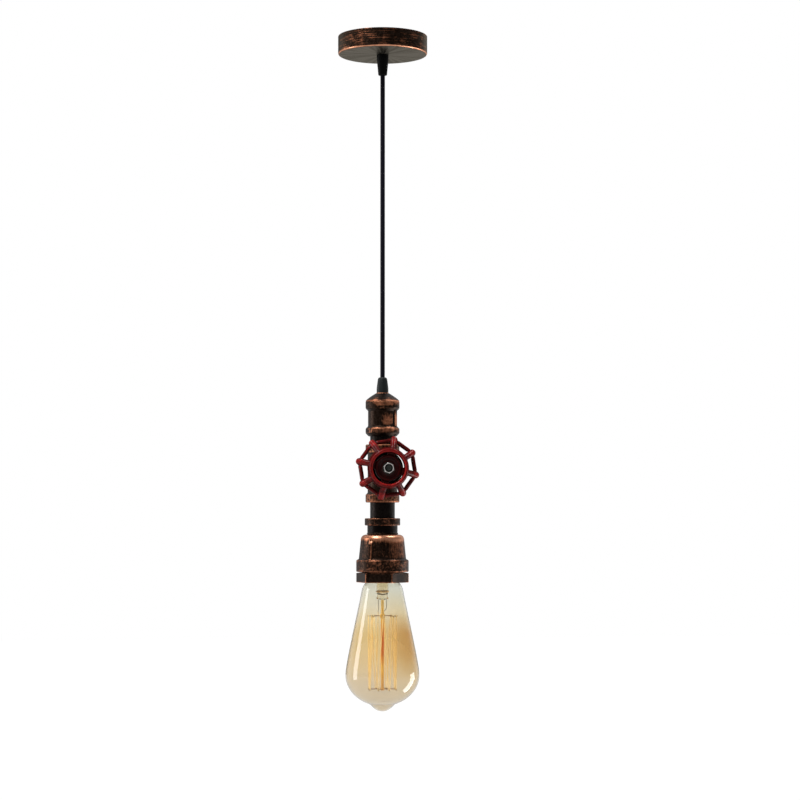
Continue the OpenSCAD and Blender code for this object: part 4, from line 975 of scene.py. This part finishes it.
def bulb_glass():
    """Teardrop envelope: a neck, a small shoulder, a long flank, a round bowl and a soft tip."""
    low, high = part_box("bulb_glass")
    top, belly = high.z - 11 * MM, high.z - 90.4 * MM
    shoulder, shoulder_z = 17.65 * MM, top - 6.7 * MM
    widest = high.x
    bowl_h = 26.5 * MM
    tip_r = 11.2 * MM
    steps = 24

    def side(inset):
        neck_in, shoulder_in, widest_in = BULB_NECK_R - inset, shoulder - inset, widest - inset
        to_shoulder = curve(
            (neck_in, top), (BULB_NECK_R + 2.8 * MM - inset, top),
            (shoulder - 0.9 * MM - inset, top - 3.4 * MM), (shoulder_in, shoulder_z), 14
        )
        to_belly = curve(
            (shoulder_in, shoulder_z), (shoulder + 3.55 * MM - inset, top - 26 * MM),
            (widest_in, belly + 9.4 * MM), (widest_in, belly), 40
        )
        return [(neck_in, high.z)] + to_shoulder + to_belly[1:]

    def bottom(inset, stop_r):
        a, b = widest - inset, bowl_h - inset
        stop = math.acos(stop_r / a)
        turns = [stop * i / steps for i in range(1, steps + 1)]
        return [(a * math.cos(t), belly - b * math.sin(t)) for t in turns]

    def tip(root, pull_r, end):
        return curve(root, root + Vector((-3.2, -2.4)) * MM, (pull_r, end), (0, end), 14)[1:]

    outer = bottom(0, tip_r)
    root = Vector(outer[-1])
    outer += tip(root, 6 * MM, low.z)
    inner = bottom(GLASS_WALL, root.x - GLASS_WALL / 2)
    inner += tip(Vector(inner[-1]), 5 * MM, low.z + GLASS_WALL)
    outline = side(0) + outer + inner[::-1] + side(GLASS_WALL)[::-1]
    obj = lathe("bulb_envelope", outline, 192, None, 6 * MM, 60)
    obj.visible_shadow = False
    dress(obj, "bulb_body", "amber_glass", glass_mat, "bulb_glass")


bulb_glass()


def bulb_cap():
    """Screw cap with its rolled thread."""
    low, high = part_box("bulb_cap")
    r, top = high.x, high.z
    pitch, depth = 3.6286 * MM, 0.55 * MM
    sheet = 0.5 * MM
    opening = r - 2.5 * MM
    outline = rounded([
        (opening, top), (r - 1.2 * MM, top, 0.3 * MM), (r, top - 1.2 * MM, 0.5 * MM), (r, low.z),
        (r - sheet, low.z), (r - sheet, top - 1.5 * MM), (r - 1.5 * MM, top - sheet), (opening, top - sheet),
    ], 4)

    def rolled(t, radius, z):
        if radius < r - 0.55 * MM or z > top - 1.3 * MM:
            return radius
        ease = step_up(top - z, 1.5 * MM, 3 * MM) * step_up(z - low.z, 2.5 * MM, 4 * MM)
        return radius - depth * ease * (1 - math.cos(2 * math.pi * z / pitch - t))

    obj = lathe("cap_shell", outline, 160, rolled, 0.35 * MM, 60)
    dress(obj, "bulb_body", "brass", brass_mat, "bulb_cap")


bulb_cap()

stem_low, stem_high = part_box("bulb_stem")
press_low = stem_low.z


def stem():
    """Flared glass stem with its flattened press, an amber rim above that and a bead on each side of it."""
    top = stem_high.z
    tube_r = 5.2 * MM
    waist_r, waist = 4.4 * MM, press_low + 4 * MM
    flatness = 0.52

    def flare(inset):
        tube_in = tube_r - inset
        return [(BULB_NECK_R - inset, top)] + curve(
            (BULB_NECK_R - 0.8 * MM - inset, top - 1 * MM), (tube_r + 1 * MM - inset, top - 2 * MM),
            (tube_in, top - 5 * MM), (tube_in, top - 9 * MM)
        ) + [(tube_in, waist + 3 * MM + inset)]

    outline = flare(0) + [
        (waist_r, waist), (4.6 * MM, press_low + 1.8 * MM), (2.6 * MM, press_low), (0, press_low),
        (0, waist + 2 * MM), (tube_r - 2 * GLASS_WALL, waist + 2.2 * MM),
    ] + flare(GLASS_WALL)[::-1]

    def pressed(t, r, z):
        flat = 1 - step_up(z, waist - 1 * MM, waist + 4 * MM)
        return r * (1 - flatness * flat * abs(math.sin(t)) ** 1.5)

    obj = lathe("stem", outline, 96, pressed, 0.8 * MM, 60)
    obj.visible_shadow = False
    dress(obj, "bulb_body", "stem_glass", stem_mat, "bulb_stem")

    ring = arc(tube_r - 0.1 * MM, waist + 2.8 * MM, 0.6 * MM, 0, 345, 23)
    dress(lathe("stem_rim", ring, 96, None, 1 * MM, 60), "bulb_body", "stem_glass", rim_mat)
    knob = arc(0, press_low + 1.3 * MM, 0.8 * MM, 90, -90, 12)
    for name, x in (("lead_bead_left", -waist_r), ("lead_bead_right", waist_r)):
        bead = lathe(name, knob, 24, None, 1 * MM, 60)
        bead.data.transform(Matrix.Translation((x, 0, 0)))
        dress(bead, "bulb_body", "stem_glass", rim_mat)


stem()

# Heights of the upper and lower hooks, and the cage of wire that they hold
rod_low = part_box("support_rod")[0].z
UPPER_Z = press_low - 14 * MM
LOWER_Z = rod_low + 1.2 * MM
CAGE_R = 12 * MM
HOOKS = 8
HOOK_STEP = 360 / HOOKS
BACK = 90


def rod():
    """Support rod with a bead where each ring of hooks is held."""
    r = 1.3 * MM
    upper_bead, lower_bead = 2.4 * MM, 1.8 * MM
    outline = [(0, press_low), (r, press_low)]
    outline += arc(0, UPPER_Z, upper_bead, 57, -57, 16)
    outline += [(r, LOWER_Z + 4 * MM)] + arc(0, LOWER_Z, lower_bead, 44, -44, 10)
    outline += [(r * 0.8, rod_low), (0, rod_low)]
    dress(lathe("rod", outline, 48, None, 2 * MM, 60), "bulb_body", "rod_glass", rod_mat, "support_rod")


rod()


def on_cage(angle, z, sideways=0.0, r=CAGE_R):
    """Point at an angle and a height on the cage, or at another radius, moved sideways along it."""
    t = math.radians(angle) + sideways / CAGE_R
    return Vector((r * math.cos(t), r * math.sin(t), z))


def hooks(name, node, z, first, bow):
    """Ring of fine support wires, each bowed a little and with its end curled round the filament."""
    wire_r = 0.2 * MM
    line = [(1.5 * MM, 0), (5 * MM, 0.25 * bow), (9 * MM, 0.1 * bow), (CAGE_R - 0.1 * MM, 0)]
    curl = [(0.5, 0.35), (0.75, -0.1), (0.6, -0.6), (0.1, -0.85), (-0.4, -0.65), (-0.55, -0.2)]
    line += [(CAGE_R + dr * MM, dz * MM) for dr, dz in curl]
    bm = bmesh.new()
    for k in range(HOOKS):
        path = [on_cage(first + HOOK_STEP * k, z + dz, 0, r) for r, dz in line]
        tube_into(bm, smooth_path(path, 4), wire_r, 8)
    dress(to_object(name, bm, 60), "bulb_body", "fine_wire", wire_mat, node)


hooks("upper_wires", "upper_hooks", UPPER_Z, BACK, 1.2 * MM)
hooks("lower_wires", "lower_hooks", LOWER_Z, BACK + HOOK_STEP / 2, 0.8 * MM)

LEAD_ANGLE = 102
LEAD_Z = UPPER_Z + 2.5 * MM


def filament():
    """Zig-zag wire over the upper hooks and under the lower ones, each long run bowed a little."""
    wire_r, turn_r, bow = 0.36 * MM, 0.55 * MM, 0.45 * MM
    steps = 10
    path = [on_cage(LEAD_ANGLE, LEAD_Z)]
    stops = []
    for k in range(HOOKS):
        stops.append((BACK + HOOK_STEP * (k + 0.5), LOWER_Z, -1))
        if k < HOOKS - 1:
            stops.append((BACK + HOOK_STEP * (k + 1), UPPER_Z, 1))
    for i, (angle, z, up) in enumerate(stops):
        turn = [
            on_cage(angle, z + up * turn_r * math.cos(t), turn_r * math.sin(t))
            for t in (-math.pi / 2, -math.pi / 4, 0, math.pi / 4, math.pi / 2)
        ]
        a, b = path[-1], turn[0]
        for s in range(1, steps):
            p = a.lerp(b, s / steps)
            sway = bow * math.sin(math.pi * s / steps) * math.sin(2.4 * i)
            path.append(on_cage(math.degrees(heading(p)), p.z, sway))
        path += turn
    end = on_cage(2 * BACK + 360 - LEAD_ANGLE, LEAD_Z)
    path += [path[-1].lerp(end, s / steps) for s in range(1, steps)] + [end]
    bm = bmesh.new()
    tube_into(bm, path, wire_r, 16)
    dress(to_object("filament_wire", bm, 80), "bulb_body", "fine_wire", filament_mat, "filament")


filament()


def leads():
    """Two wires from the press that bend back to the filament's ends."""
    wire_r, out = 0.32 * MM, 3.5 * MM
    end = on_cage(LEAD_ANGLE, LEAD_Z + 0.4 * MM)
    line = [
        (out, 0, press_low + 0.4 * MM), (out, 0, LEAD_Z + 7 * MM), (out, 0.2 * MM, LEAD_Z + 5 * MM),
        (out - 0.4 * MM, 1.8 * MM, LEAD_Z + 3.2 * MM), (0.2 * MM - end.x, end.y - 1 * MM, end.z + 0.8 * MM),
        (-end.x, end.y, end.z),
    ]
    bm = bmesh.new()
    for side in (-1, 1):
        path = [(side * x, y, z) for x, y, z in line]
        tube_into(bm, smooth_path(path, 5), wire_r, 10)
    dress(to_object("lead_wires", bm, 60), "bulb_body", "fine_wire", lead_mat, "lead_in_wires")


leads()


# CAD nodes whose own shape is right

CAD_FINISHES = {
    "mounting_bracket": zinc_mat, "rose_nipple": brass_mat, "rose_nipple_nuts": brass_mat,
    "terminal_block": white_mat, "terminal_screws": brass_mat, "rose_cores": core_mat,
    "upper_grip_screw": black_mat, "cord_entry": cord_mat, "lower_grip_screw": grip_mat,
    "lamp_nipple": brass_mat, "lamp_nipple_nut": brass_mat, "branch_bush": pipe_mat, "gland_nut": pipe_mat,
    "valve_stem": steel_mat, "wheel_washer": steel_mat, "holder_body": porcelain_mat,
    "holder_shell": brass_mat, "centre_contact": brass_mat, "holder_terminals": brass_mat,
    "holder_screws": zinc_mat, "lamp_lead": cord_mat, "lead_cores": core_mat, "bulb_contact": zinc_mat,
    "bulb_insulator": vitrite_mat,
}
for node_name, finish in CAD_FINISHES.items():
    mesh = cad[node_name].data
    mesh.materials.clear()
    mesh.materials.append(finish)


# Floor, world, lights and camera

def floor():
    """Pale floor that is near white where it is seen, and still takes the part's shadow."""
    half_width, height = 14, -1.35
    mirrored_glow, seen_glow, glow_share = 0.8, 1.2, 0.8
    bm = bmesh.new()
    bmesh.ops.create_grid(bm, x_segments=1, y_segments=1, size=half_width)
    obj = to_object("floor", bm)
    obj.location.z = height
    material, tree, bsdf = shader("pale_floor", Base_Color=(0.8, 0.8, 0.8, 1), Roughness=0.9)
    light = put(tree, "ShaderNodeLightPath").outputs
    through = maths(tree, "MAXIMUM", light["Is Camera Ray"], light["Is Transmission Ray"])
    seen = maths(tree, "MAXIMUM", through, light["Is Glossy Ray"])
    level = between(tree, through, 0, 1, mirrored_glow, seen_glow)
    glow = put(tree, "ShaderNodeEmission", {"Color": (1, 1, 1, 1), "Strength": level})
    share = maths(tree, "MULTIPLY", seen, glow_share)
    both = put(tree, "ShaderNodeMixShader", {0: share, 1: bsdf.outputs[0], 2: glow.outputs[0]})
    tree.links.new(both.outputs[0], tree.nodes["Material Output"].inputs["Surface"])
    obj.data.materials.append(material)


floor()


def studio():
    """White room; in reflections it is dim in front, bright to the back and dark straight behind."""
    front, back, behind = 0.26, 0.9, 0.12
    world = bpy.data.worlds.new("studio")
    scene.world = world
    world.use_nodes = True
    tree = world.node_tree
    ground = tree.nodes["Background"]
    light = put(tree, "ShaderNodeLightPath").outputs
    way = put(tree, "ShaderNodeTexCoord").outputs["Generated"]
    depth = put(tree, "ShaderNodeSeparateXYZ", {0: way}).outputs["Y"]
    flanks = between(tree, depth, 0.2, 0.78, front, back)
    mirrored = maths(tree, "MULTIPLY", flanks, between(tree, depth, 0.72, 0.95, 1.0, behind))
    level = 0.42
    for kind, strength in (("Is Glossy Ray", mirrored), ("Is Transmission Ray", 1.0), ("Is Camera Ray", 1.0)):
        sockets = {"Factor": light[kind], NUMBER_A: level, NUMBER_B: strength}
        level = put(tree, "ShaderNodeMix", sockets, data_type="FLOAT").outputs[0]
    tree.links.new(level, ground.inputs["Strength"])
    ground.inputs["Color"].default_value = (1, 1, 1, 1)


studio()


def softbox(name, place, target, size, watts):
    """Rectangular area light that faces its target."""
    data = bpy.data.lights.new(name, "AREA")
    data.shape = "RECTANGLE"
    data.size, data.size_y = size
    data.energy = watts
    obj = bpy.data.objects.new(name, data)
    obj.location = place
    obj.rotation_euler = (Vector(target) - Vector(place)).to_track_quat("-Z", "Y").to_euler()
    obj.visible_transmission = False
    scene.collection.objects.link(obj)


# Lamps: place, target and size in metres, and power in watts
softbox("left_strip", (-1.23, 0.22, -0.38), (0, 0, -0.52), (0.4, 0.95), 7.5)
softbox("right_strip", (0.78, 0.15, -0.87), (0, 0, -0.56), (0.32, 0.78), 6.4)
softbox("top_left", (-0.42, 0.0, 0.5), (0, 0, -0.42), (0.26, 0.26), 3.6)
softbox("top_right", (0.45, 0.05, 0.5), (0, 0, -0.42), (0.26, 0.26), 3.6)
softbox("front_left", (-0.65, -0.5, 0.8), (0, -0.05, -0.376), (0.6, 0.6), 14)


def camera():
    data = bpy.data.cameras.new("camera")
    data.sensor_width = 36
    data.lens = FOCAL / PICTURE * data.sensor_width
    data.clip_end = 100
    obj = bpy.data.objects.new("camera", data)
    scene.collection.objects.link(obj)
    obj.location = (
        CAMERA_DISTANCE * math.sin(CAMERA_TURN), -CAMERA_DISTANCE * math.cos(CAMERA_TURN), CAMERA_HEIGHT
    )
    pitch = math.atan((EYE_LEVEL_AT - PICTURE / 2) / FOCAL)
    yaw = CAMERA_TURN - math.atan((PICTURE / 2 - AXIS_AT) / FOCAL)
    obj.rotation_euler = (math.pi / 2 + pitch, 0, yaw)
    scene.camera = obj


camera()

scene.view_settings.view_transform = "Standard"
